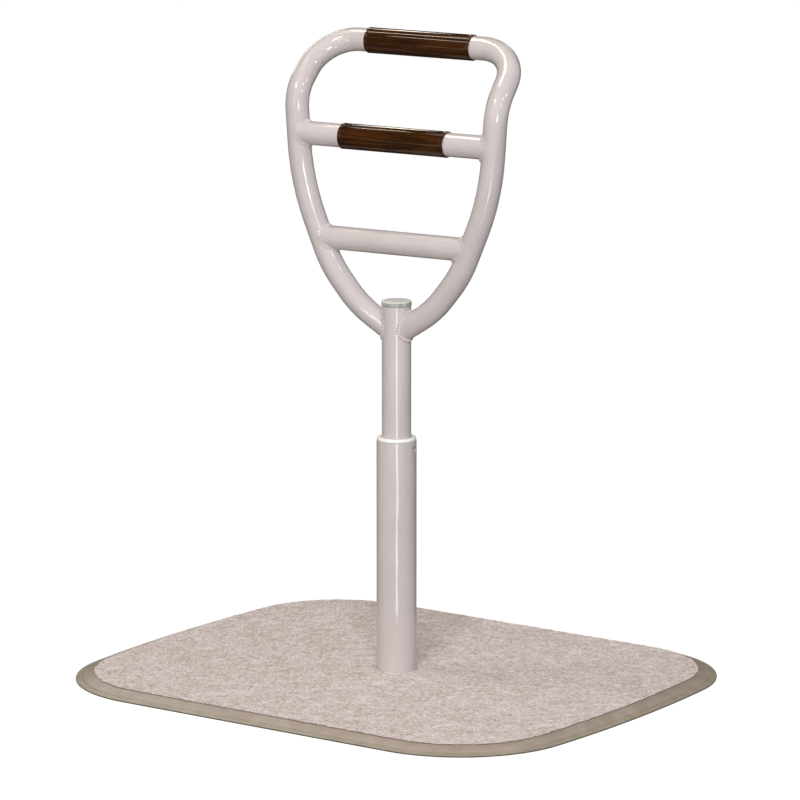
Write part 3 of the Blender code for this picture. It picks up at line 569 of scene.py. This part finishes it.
def frayed(verts, out, height, wander):
    """Puts a ring of points at an offset and a height, each a little off by noise."""
    for vert in verts:
        flat = Vector((vert.co.x, vert.co.y, 0))
        loose = noise.noise(flat / LOOSE_FIBRES + Vector((0, 0, out)))
        loose += 0.8 * noise.noise(flat / LOOSE_TUFTS + Vector((0, 0, 9)))
        vert.co = flat + outwards(flat) * (out + wander * loose) * MM
        vert.co.z = carpet_low.z + (carpet_high.z - carpet_low.z) * height
        vert.co.z += wander * 0.5 * MM * noise.noise(flat / RIM_BUMPS) * (height > 0)


carpet = bmesh.new()
point = carpet.verts.new((0, half_width + FELT_OFFSET, 0))
along_outline(carpet, [point], 0, corner_steps=150, end_steps=220)
mirrored(carpet)
long_edges = [edge for edge in carpet.edges if edge.calc_length() > 2 * RIM_STEP]
bmesh.ops.subdivide_edges(carpet, edges=long_edges,
                          cuts=round(max(edge.calc_length() for edge in long_edges) / RIM_STEP))
ring = carpet.edges[:]
hole_edges = edges_of(circle(carpet, ROUND_STEPS, POST_HOLE, Matrix.Translation((0, 0, carpet_low.z))))
bmesh.ops.triangle_fill(carpet, use_beauty=True, use_dissolve=False, edges=ring + hole_edges)
for number, (out, height, wander) in enumerate(PILE_RINGS):
    if number:
        ring = straight(carpet, ring)
    frayed({vert for edge in edges_of(ring) for vert in edge.verts}, out, height, wander)
wall = straight(carpet, hole_edges, (0, 0, carpet_high.z - carpet_low.z))
bmesh.ops.triangle_fill(carpet, use_beauty=True, use_dissolve=False, edges=edges_of(ring + wall))
tidy(carpet)
carpet = finished("needle_felt_carpet", carpet, "base", felt, ["carpet"], UPRIGHT)

# %% [markdown]
# ## The fixed column
# The lower post is a steel tube, 48.6 mm across with a 2.3 mm wall, screwed up from under the
# plate. Near its mouth a hole in its side takes the set screw. It is turned on the lathe with its
# sawn end eased, and the hole is drilled with a Boolean, which keeps the tube's wall true.

# %% Column
column_low, column_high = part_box("outer_column")
COLUMN_RADIUS = 24.3 * MM
COLUMN_WALL = 2.3 * MM
SCREW_HEIGHT = column_high.z - 10 * MM
SCREW_RADIUS = 4 * MM
BORE = COLUMN_RADIUS - COLUMN_WALL

column = turned([(COLUMN_RADIUS, column_low.z), (COLUMN_RADIUS, column_high.z),
                 (BORE, column_high.z), (BORE, column_low.z)], {1: 0.4 * MM, 2: 0.3 * MM})
column = as_object("lower_post_tube", column, STAND)


def across(distance, height):
    """A place on the screw's axis, with Z along it, outwards from the post."""
    return STAND @ Matrix.Translation((distance, 0, height)) @ ALONG_X


drilled(column, SCREW_RADIUS + TOUCHING, 40, COLUMN_RADIUS, across(COLUMN_RADIUS, SCREW_HEIGHT))
finished("lower_post_tube", column, "base", enamel, ["outer_column"])

# %% [markdown]
# ## The guide ring
# A white nylon bush closes the gap between the two tubes and lets the inner one slide and turn.
# What shows is its flange, a ring with a well rounded top; its sleeve goes down inside the
# column and has a slot that passes the welded nut behind the set screw.

# %% Guide ring
bush_low, bush_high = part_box("guide_bush")
BUSH_BORE = 18.05 * MM
BUSH_SLEEVE = BORE - TOUCHING
FLANGE = COLUMN_RADIUS - 0.5 * MM
flange_bottom = column_high.z + TOUCHING
NUT_SLOT = 14.6 * MM

bush = turned([(BUSH_BORE, bush_high.z), (FLANGE, bush_high.z), (FLANGE, flange_bottom),
               (BUSH_SLEEVE, flange_bottom), (BUSH_SLEEVE, bush_low.z), (BUSH_BORE, bush_low.z)],
              {0: 0.3 * MM, 1: 1.5 * MM, 2: 0.4 * MM})
bush = as_object("guide_ring", bush, STAND)
slot_top = SCREW_HEIGHT + NUT_SLOT / 2
slot_height = slot_top - bush_low.z + COLUMN_WALL
slot = bmesh.new()
bmesh.ops.create_cube(slot, size=1)
cut(bush, slot, STAND @ Matrix.Translation((COLUMN_RADIUS, 0, slot_top - slot_height / 2))
    @ Matrix.Diagonal((COLUMN_RADIUS, NUT_SLOT, slot_height, 1)))
finished("guide_ring", bush, "base", nylon, ["guide_bush"])

# %% [markdown]
# ## The set screw
# A short socket set screw clamps the inner post through the column's wall. In the photograph it
# is only a faint grey mark: it sits just under the column's surface, and its face and socket were
# sprayed with the column. The hexagon of the socket is bridged to the face's round edge, and the
# body is drawn down from there ring by ring, so no Boolean is needed for it.

# %% Set screw
SCREW_FACE = COLUMN_RADIUS - 0.7 * MM
SCREW_NOSE = 18.65 * MM
SOCKET_ACROSS = 4 * MM
SOCKET_DEPTH = 3.0 * MM
POCKET_RADIUS, POCKET_DEPTH = 2.8 * MM, 1.5 * MM
EASED = 0.6 * MM
HEX_SIDES, HEX_CUTS = 6, 7

body_length = SCREW_FACE - SCREW_NOSE
screw = bmesh.new()
socket = edges_of(circle(screw, HEX_SIDES, SOCKET_ACROSS / 2 / math.cos(math.pi / HEX_SIDES)))
bottom = straight(screw, socket, (0, 0, -SOCKET_DEPTH))
bmesh.ops.holes_fill(screw, edges=edges_of(bottom))
bmesh.ops.subdivide_edges(screw, edges=socket, cuts=HEX_CUTS)
mouth = [edge for edge in screw.edges if all(abs(vert.co.z) < SAME_PLACE for vert in edge.verts)]
ring = circle(screw, HEX_SIDES * (HEX_CUTS + 1), SCREW_RADIUS - EASED)
bmesh.ops.bridge_loops(screw, edges=mouth + edges_of(ring))
for radius, depth in [(SCREW_RADIUS, EASED), (SCREW_RADIUS, body_length - EASED),
                      (SCREW_RADIUS - EASED, body_length), (POCKET_RADIUS, body_length),
                      (POCKET_RADIUS, body_length - POCKET_DEPTH)]:
    ring = straight(screw, ring)
    for vert in verts_of(ring):
        vert.co = Vector((vert.co.x, vert.co.y, 0)).normalized() * radius
        vert.co.z = -depth
bmesh.ops.holes_fill(screw, edges=edges_of(ring))
tidy(screw)
painted = [number for number, face in enumerate(screw.faces)
           if min(vert.co.z for vert in face.verts) > -SOCKET_DEPTH - SAME_PLACE]
screw = finished("socket_set_screw", screw, "set_screw", oxide_steel,
                 ["lock_screw"], across(SCREW_FACE, SCREW_HEIGHT))
screw.data.materials.append(enamel)
for number in painted:
    screw.data.polygons[number].material_index = 1
print("screw faces under paint:", len(painted))

# %% [markdown]
# ## The inner post
# The upper post is a 35.5 mm tube of the same enamelled steel. It carries the handle, slides up
# to 100 mm and turns. Near its foot, deep inside the column, a cross hole takes the pin that
# holds the foot plug.

# %% Inner post
post_low, post_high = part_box("inner_post")
POST_RADIUS = 17.75 * MM
POST_BORE = POST_RADIUS - 2.3 * MM
PIN_HOLE = 2.3 * MM

post = turned([(POST_RADIUS, post_low.z), (POST_RADIUS, post_high.z), (POST_BORE, post_high.z),
               (POST_BORE, post_low.z)], {1: 0.4 * MM})
post = as_object("upper_post_tube", post, STAND)
drilled(post, PIN_HOLE, 24, 4 * POST_RADIUS, across(0, mid_height("retaining_pin")))
finished("upper_post_tube", post, "handle", enamel, ["inner_post"])

# %% [markdown]
# ## The cap
# A grey-green plastic cap closes the post's top. Its rim is as wide as the tube and its corner is
# well rounded; a hollow spigot, out of sight, holds it in the bore.

# %% Cap
cap_low, cap_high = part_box("post_cap")
CAP_RADIUS = POST_RADIUS + 0.45 * MM
cap_bottom = post_high.z + TOUCHING
SPIGOT = POST_BORE - TOUCHING
SPIGOT_BORE = SPIGOT - 2 * MM

cap = turned([(0, cap_high.z), (CAP_RADIUS, cap_high.z), (CAP_RADIUS, cap_bottom),
              (SPIGOT, cap_bottom), (SPIGOT, cap_low.z), (SPIGOT_BORE, cap_low.z),
              (SPIGOT_BORE, cap_bottom), (0, cap_bottom)], {1: 1.6 * MM, 2: 0.5 * MM})
finished("post_top_cap", cap, "handle", cap_plastic, ["post_cap"])

# %% [markdown]
# ## The bent handle tube
# One 28.6 mm tube makes the whole loop. Its top lies 62 mm behind the post, and from there it
# comes down and forwards, runs nearly upright past the bars, and closes in two gentle bends on
# the post. The bender's list is short: corners of the centreline and a radius for each. Half the
# loop is drawn from the middle of the top, and mirrored.

# %% Handle tube
TUBE_RADIUS = 14.3 * MM
TUBE_WALL = 1.6 * MM
TUBE_SIDES = 64
LEG_OFFSET = -3 * MM
TOP_LEAN, TOP_HEIGHT = 61.8 * MM, 770.4 * MM
BENDS = [
    ((133.8 * MM, TOP_LEAN, TOP_HEIGHT), 51.6 * MM),
    ((137.0 * MM, LEG_OFFSET, 711.5 * MM), 50.5 * MM),
    ((129.5 * MM, LEG_OFFSET, 602.6 * MM), 296 * MM),
    ((88.8 * MM, LEG_OFFSET, 503.9 * MM), 155 * MM),
    ((51.5 * MM, LEG_OFFSET / 2, 457.8 * MM), 128 * MM),
]
TUBE_START = Vector((0, TOP_LEAN, TOP_HEIGHT))
TUBE_END = Vector((9 * MM, 0, 430.8 * MM))
BEND_STEP = math.radians(3)
STUB = 5 * MM

loop = bmesh.new()
ring = circle(loop, TUBE_SIDES, TUBE_RADIUS, Matrix.Translation(TUBE_START) @ ALONG_X)
here, heading = TUBE_START, Vector((1, 0, 0))
corners = [Vector(corner) for corner, _ in BENDS] + [TUBE_END]
for corner, after, (_, radius) in zip(corners, corners[1:], BENDS):
    leaving = (after - corner).normalized()
    angle = heading.angle(leaving)
    setback = radius * math.tan(angle / 2)
    ring = straight(loop, ring, corner - heading * setback - here)
    inwards = (leaving - heading).normalized()
    centre = corner + inwards * radius / math.cos(angle / 2)
    ring = bend(loop, ring, centre, heading.cross(leaving).normalized(), angle,
                max(3, round(angle / BEND_STEP)))
    here, heading = corner + leaving * setback, leaving
loop_end = straight(loop, ring, heading * STUB)
print("half loop:", len(loop.faces), "faces, heading to the post", heading)

# %% [markdown]
# ## Where tubes meet
# A tube that meets another is cut to a saddle, welded all round and painted over. The saddle is
# found as a fitter scribes it: every line down the tube runs on until it meets the other wall.
# The weld is a strip of rings along that saddle line: the first lies on the arriving tube, the
# last on the wall, and those between hollow in or bulge out. A small weld is nearly flat, a
# bead laid by hand bulges, and both show ripples two or three millimetres apart.

# %% Where tubes meet
SUNK = 0.4 * MM
SWELL = 0.3 * MM
WELD_SIDES = 192
WELD_RINGS = 9
SADDLE_POINTS = 12
UNEVEN_OVER = 9 * MM


def meets(point, way, wall):
    """How far a line runs from a point, one way, before it meets the wall of a round tube."""
    start, axis, radius = wall
    offset = point - start
    offset -= axis * offset.dot(axis)
    slope = way - axis * way.dot(axis)
    a, b, c = slope.length_squared, offset.dot(slope), offset.length_squared - radius ** 2
    return (-b - math.sqrt(max(0, b * b - a * c))) / a


def on_wall(point, wall):
    """The place on a round tube's wall beside a point, and the wall's direction outwards there."""
    start, axis, radius = wall
    middle = start + axis * (point - start).dot(axis)
    outward = (point - middle).normalized()
    return middle + outward * radius, outward


def scribed(shape, end, way, wall):
    """Runs half a tube's open end on to a wall, mirrors the half and gives the tube its wall."""
    for vert in verts_of(end):
        vert.co += way * (meets(vert.co, way, wall) + SUNK)
    mirrored(shape)
    tidy(shape)
    bmesh.ops.solidify(shape, geom=shape.faces[:], thickness=TUBE_WALL)


def weld(shape, start, way, wall, width, fullness, ripples, depth, uneven):
    """Adds the weld of a tube, from a point on its axis, on a wall. Fullness 0 is hollow and
    runs into both tubes, and 0.5 is flat. Depth is that of the ripples, and uneven the share
    by which its width wanders."""
    side = way.orthogonal().normalized()
    ahead = way.cross(side)

    def saddle(turn):
        point = start + (math.cos(turn) * side + math.sin(turn) * ahead) * TUBE_RADIUS
        return point + way * meets(point, way, wall)

    turns = [math.tau * number / SADDLE_POINTS for number in range(SADDLE_POINTS)]
    middle = sum((saddle(turn) for turn in turns), Vector()) / SADDLE_POINTS
    rings = [circle(shape, WELD_SIDES, 1)]
    for _ in range(WELD_RINGS):
        rings.append(straight(shape, rings[-1]))
    bmesh.ops.bridge_loops(shape, edges=edges_of(rings[0] + rings[-1]))
    rings = [sorted(verts_of(ring), key=lambda vert: math.atan2(vert.co.y, vert.co.x))
             for ring in rings]
    for place in range(WELD_SIDES):
        turn = math.tau * place / WELD_SIDES
        foot = saddle(turn)
        run = (saddle(turn + 0.01) - saddle(turn - 0.01)).normalized()
        over = on_wall(foot, wall)[1].cross(run)
        over *= math.copysign(1, over.dot(foot - middle))
        ripple = math.sin(turn * ripples + 0.6 * math.sin(5 * turn))
        wide = width * (1 + 0.5 * depth * ripple + uneven * noise.noise(foot / UNEVEN_OVER))
        full = fullness + depth * ripple
        on_tube = foot - way * wide
        landed = on_wall(foot + over * wide, wall)[0]
        middle_out = (on_wall(foot, wall)[1] + on_wall(foot, (start, way, TUBE_RADIUS))[1]) / 2
        crown = foot + (on_tube - foot + landed - foot) * full + middle_out * SWELL
        for number in range(WELD_RINGS):
            share = number / (WELD_RINGS - 1)
            rings[number][place].co = (on_tube * (1 - share) ** 2 + landed * share ** 2
                                       + crown * 2 * share * (1 - share))
        rings[-1][place].co = foot - middle_out.normalized() * SUNK


post_line = (Vector(), Vector(UP), POST_RADIUS)
scribed(loop, loop_end, heading, post_line)
finished("bent_handle_tube", loop, "handle", enamel, ["handle_loop"])

BEAD_WIDTH = 2.8 * MM
BEAD_START = TUBE_END - heading * 40 * MM
for side_name, side in (("right", 1), ("left", -1)):
    bead = bmesh.new()
    weld(bead, BEAD_START, heading, post_line, BEAD_WIDTH, fullness=0.9, ripples=38, depth=0.28,
         uneven=0.3)
    bmesh.ops.scale(bead, vec=(side, 1, 1), verts=bead.verts)
    tidy(bead)
    finished("weld_bead_" + side_name, bead, "handle", enamel)

# %% [markdown]
# ## The cross bars
# Two bars of the same tube join the legs. Their welds are small and nearly flat, about 3.5 mm
# wide and a little uneven, and the paint runs over them. Half a bar is drawn out from its middle
# to the leg, scribed to it, given its wall and its weld, and mirrored.

# %% Cross bars
WELD_WIDTH = 3.4 * MM


def cross_bar(name, node, low, high):
    """A bar between the legs, where the right leg's straight runs from a low to a high corner."""
    start = Vector((0, LEG_OFFSET, mid_height(node)))
    outwards_x = Vector((1, 0, 0))
    leg = (Vector(low), (Vector(high) - Vector(low)).normalized(), TUBE_RADIUS)
    shape = bmesh.new()
    ring = circle(shape, TUBE_SIDES, TUBE_RADIUS, Matrix.Translation(start) @ ALONG_X)
    scribed(shape, straight(shape, ring, outwards_x * MM), outwards_x, leg)
    joint = bmesh.new()
    weld(joint, start, outwards_x, leg, WELD_WIDTH, fullness=0.45, ripples=34, depth=0.16,
         uneven=0.5)
    mirrored(joint)
    tidy(joint)
    joined = bpy.data.meshes.new("joint")
    joint.to_mesh(joined)
    joint.free()
    shape.from_mesh(joined)
    finished(name, shape, "handle", enamel, [node])


cross_bar("middle_cross_bar", "middle_bar", BENDS[2][0], BENDS[1][0])
cross_bar("lower_cross_bar", "lower_bar", BENDS[3][0], BENDS[2][0])

# %% [markdown]
# ## The grips
# Each grip is a vinyl sleeve slid over its bar, 1.2 mm thick. Its ends are turned in to thick
# rounded lips with a fine groove behind them. It is turned like the ring and the cap, and laid
# along the bar.

# %% Grips
SLEEVE_BORE = TUBE_RADIUS + TOUCHING
SLEEVE_RADIUS = SLEEVE_BORE + 1.2 * MM
BODY_RADIUS = SLEEVE_RADIUS - 0.12 * MM
GROOVE_RADIUS = SLEEVE_RADIUS - 0.45 * MM
LIP = 3.6 * MM
GROOVE = 0.5 * MM
GRIP_LENGTH = 144 * MM


def grip(name, node, lean, height):
    half = GRIP_LENGTH / 2
    side = [(SLEEVE_BORE, half), (SLEEVE_RADIUS, half), (SLEEVE_RADIUS, half - LIP),
            (GROOVE_RADIUS, half - LIP - GROOVE / 2), (BODY_RADIUS, half - LIP - GROOVE)]
    profile = side + [(radius, -distance) for radius, distance in reversed(side)]
    rounds = {1: 0.9 * MM, 2: 0.2 * MM, 4: 0.2 * MM, 5: 0.2 * MM, 7: 0.2 * MM, 8: 0.9 * MM}
    place = Matrix.Translation((0, lean, height)) @ ALONG_X
    finished(name, turned(profile, rounds), "handle", grip_vinyl, [node],
             STAND @ place)


grip("top_grip_sleeve", "top_grip", TOP_LEAN, TOP_HEIGHT)
grip("middle_grip_sleeve", "middle_grip", LEG_OFFSET, mid_height("middle_bar"))

# %% [markdown]
# ## The hidden parts
# Plate, plug, screws, nut, pin and the parts that slide inside the column are right as CAD made
# them, and nearly all out of sight. They keep their meshes and get the finish of the real part.

# %% Hidden parts
HIDDEN = {
    "anti_slip_sheet": rubber, "base_plate": zinc_steel, "column_foot_plug": zinc_steel,
    "foot_screw_1": oxide_steel, "foot_screw_2": oxide_steel, "foot_screw_3": oxide_steel,
    "lock_nut": zinc_steel, "lock_screw_tip": brass, "glide_bush": nylon,
    "post_foot": zinc_steel, "retaining_pin": zinc_steel,
}
for node_name, material in HIDDEN.items():
    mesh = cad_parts[node_name].data
    mesh.materials.clear()
    mesh.materials.append(material)
print("hidden parts:", ", ".join(HIDDEN))

# %% [markdown]
# ## The floor and the backdrop
# The photograph is cut out on plain white. What the camera sees of the floor, straight or in a
# reflection, is white by its own glow and takes only a little from the lamps, so that a soft
# shadow of the object still shows on it. The world is white in the same rays and dimmer as light.

# %% Floor and world
def seen_ray(tree):
    """1 for rays that show a thing to the camera, straight, mirrored or through, and else 0."""
    ray = add(tree, "LightPath", {})
    seen = ray.outputs["Is Camera Ray"]
    for kind in ("Is Glossy Ray", "Is Transmission Ray"):
        seen = add(tree, "Math", {0: seen, 1: ray.outputs[kind]}, operation="MAXIMUM").outputs[0]
    return seen


floor_shape = bmesh.new()
bmesh.ops.create_grid(floor_shape, x_segments=1, y_segments=1, size=30)
floor = as_object("floor", floor_shape)
floor_paint = bpy.data.materials.new("white_studio_floor")
floor_paint.use_nodes = True
tree = floor_paint.node_tree
tree.nodes.clear()
bounce = add(tree, "BsdfDiffuse", {"Color": linear("a8a8a8")})
faint = add(tree, "BsdfDiffuse", {"Color": linear("5a5a5a")})
glow = add(tree, "Emission", {"Color": (1, 1, 1, 1), "Strength": 0.96})
white = add(tree, "AddShader", {0: faint, 1: glow})
mixed = add(tree, "MixShader", {0: seen_ray(tree), 1: bounce, 2: white})
add(tree, "OutputMaterial", {"Surface": mixed})
floor.data.materials.append(floor_paint)

FILL_LIGHT = 0.35
world = bpy.data.worlds.new("studio")
bpy.context.scene.world = world
world.use_nodes = True
tree = world.node_tree
tree.nodes.clear()
strength = add(tree, "MapRange", {"Value": seen_ray(tree), "To Min": FILL_LIGHT, "To Max": 1.0})
back = add(tree, "Background", {"Color": (1, 1, 1, 1), "Strength": strength})
add(tree, "OutputWorld", {"Surface": back})
print("floor and world made")

# %% [markdown]
# ## The lamps
# Two lamps light the surfaces: one big soft box in front, which shapes the tubes (bright in the
# middle, darker to both sides), and a small warm one high on the left, which draws the faint
# shadow on the felt. They are hidden from reflections, because gloss paint shows what lamps look
# like, and the photograph shows many small ones: the room's own lamps and windows. Each of those
# was found by following a highlight in the photograph back from the surface, and shows only in
# reflections. Some are for one kind of piece: long strips overhead for the painted tubes, thin
# lines and a short window for each grip, and strips near the floor for the posts and the loop's
# right leg, as an upright tube seen from above mirrors what lies low in front. Dark cards on the
# floor, behind and on the left give the pale tubes an edge and keep the grips' lacquer dark.

# %% Lamps
def lamp(name, azimuth, elevation, distance, size, radiance, aim=VIEW_TARGET, soft=False,
         tilt=0, tone="ffffff", only=()):
    """A rectangular lamp aimed at a point, from an azimuth relative to the camera's.
    A soft one lights surfaces. The others show only as reflections, on all pieces or on some."""
    light = bpy.data.lights.new(name, "AREA")
    light.shape, light.size, light.size_y = "RECTANGLE", *size
    light.energy = radiance * math.pi * size[0] * size[1]
    light.color = linear(tone)[:3]
    placed = bpy.data.objects.new(name, light)
    bpy.context.scene.collection.objects.link(placed)
    out = direction(VIEW_AZIMUTH + math.radians(azimuth), math.radians(elevation))
    placed.location = aim + distance * out
    upright = out.to_track_quat("Z", "Y").to_matrix()
    placed.rotation_euler = (upright @ Matrix.Rotation(math.radians(tilt), 3, "Z")).to_euler()
    placed.visible_camera = False
    placed.visible_glossy, placed.visible_diffuse = not soft, soft
    if only:
        receivers = bpy.data.collections.new("receivers")
        for piece in only:
            receivers.objects.link(bpy.data.objects[piece])
        placed.light_linking.receiver_collection = receivers
    return placed


HANDLE_MIDDLE = Vector((0, 0.02, 0.68))
ROOM_DISTANCE = 2.5
ROOM_LAMPS = [
    # azimuth, elevation, degrees wide and high, tilt, radiance
    ("left_ceiling_lamp", -42, 45, 16, 9, -15, 13), ("side_window", -155, 24, 8, 28, 20, 5),
    ("front_window", 12, 5.5, 14, 11, 0, 12), ("front_window_top", 10, 14, 12, 6, 0, 5),
    ("back_window", 160, 24, 9, 9, 0, 3), ("low_lamp_1", -41, 3, 4, 4, 0, 16),
    ("low_lamp_2", -35, 14, 4, 4, 0, 17), ("low_lamp_3", -33, 23, 4, 4, 0, 14),
    ("right_lamp_1", 37, 26, 5, 4, 0, 25), ("right_lamp_2", 39, 37, 4, 3, 0, 22),
    ("right_lamp_3", 68, 29, 4, 3.2, 0, 34),
]
ROOM_STRIPS = [
    ("strip_lamp_near", -133, 62, 19, 7.6, 25, 11), ("strip_lamp_far", -106, 72, 18, 7.6, 52, 11),
    ("strip_glow", -122, 60, 24, 12, 0, 2),
]
TOP_GRIP_LAMPS = [
    ("top_line", -119.5, 62.7, 3.4, 16, 3, 15), ("top_second_line", -71.8, 49.8, 12, 3, 12, 11),
    ("top_window", -171.5, 38, 4.6, 9, -50, 12),
]
MIDDLE_GRIP_LAMPS = [
    ("middle_line", -134.9, 58.5, 3.2, 7, 47, 14), ("middle_window", -174.5, 31, 5, 9, -40, 12),
]
FLOOR_STRIPS = [
    # near and far end, azimuth, radiance
    (0.38, 0.8, 1, 7), (0.8, 1.5, 1, 7), (1.5, 2.6, 5, 7),
]
LEG_STRIPS = [(1.15, 1.46, 4, 3.5), (1.46, 2.03, 4, 7), (2.03, 2.7, 4, 3.5)]
STRIP_LIFT = 8 * MM
STRIP_SPREAD = 0.17
WARM = "fff4e2"
POSTS = ["upper_post_tube", "lower_post_tube", "weld_bead_left", "weld_bead_right"]
PAINTED = POSTS + ["bent_handle_tube", "middle_cross_bar", "lower_cross_bar"]
lamp("soft_box", -6, 34, 5.5, (2.67, 2.67), 10.6, soft=True)
lamp("left_lamp", -108, 63, 3.0, (0.4, 0.4), 26, soft=True, tone="ffe2b4")

for table, tone, only in ((ROOM_LAMPS, "ffffff", ()), (ROOM_STRIPS, WARM, PAINTED),
                          (TOP_GRIP_LAMPS, WARM, ["top_grip_sleeve"]),
                          (MIDDLE_GRIP_LAMPS, WARM, ["middle_grip_sleeve"])):
    for name, azimuth, elevation, wide, high, tilt, radiance in table:
        size = [2 * ROOM_DISTANCE * math.tan(math.radians(span) / 2) for span in (wide, high)]
        lamp(name, azimuth, elevation, ROOM_DISTANCE, size, radiance, HANDLE_MIDDLE, tilt=tilt,
             tone=tone, only=only)

# Low in front, a strip that stands and some that lie just above the floor
lamp("standing_strip", 1, -4, 2.7, (0.45, 0.5), 8.5, only=POSTS)
for table, only in ((FLOOR_STRIPS, POSTS), (LEG_STRIPS, ["bent_handle_tube"])):
    for near, far, azimuth, radiance in table:
        turn = VIEW_AZIMUTH + math.radians(azimuth)
        middle = direction(turn, 0) * (near + far) / 2
        strip = lamp("lying_strip", 0, 90, STRIP_LIFT, (STRIP_SPREAD * middle.length, far - near),
                     radiance, middle, only=only)
        strip.rotation_euler = (math.pi, 0, turn)

CARD_SPECKLE = 4 * MM
card_paint, tree, shader, place = start_material("matt_dark_card", 0.9)
speckle = add(tree, "TexNoise", {"Vector": place, "Scale": 1 / CARD_SPECKLE})
tint = add(tree, "ValToRGB", {"Fac": speckle}, [(0.3, "3c3d3a"), (0.7, "444541")])
tree.links.new(tint.outputs[0], shader.inputs["Base Color"])
STANDING = Matrix.Rotation(math.pi / 2, 4, "X")
for name, width, height, azimuth, spot in [
        ("card_on_floor", 9, 7.5, 0, Matrix.Translation((0, 1.5, 4 * MM))),
        ("card_behind", 9, 8, 0, Matrix.Translation((0, 3.6, 4.0)) @ STANDING),
        ("card_left", 14, 8, -110, Matrix.Translation((0, -3.3, 4.0)) @ STANDING)]:
    sheet = bmesh.new()
    bmesh.ops.create_grid(sheet, x_segments=1, y_segments=1, size=0.5)
    bmesh.ops.scale(sheet, vec=(width, height, 1), verts=sheet.verts)
    turn = VIEW_AZIMUTH + math.radians(azimuth)
    sheet = as_object(name, sheet, Matrix.Rotation(turn, 4, "Z") @ spot)
    sheet.data.materials.append(card_paint)
    sheet.visible_camera = sheet.visible_shadow = sheet.visible_diffuse = False
print("lamps:", len(bpy.data.lights))
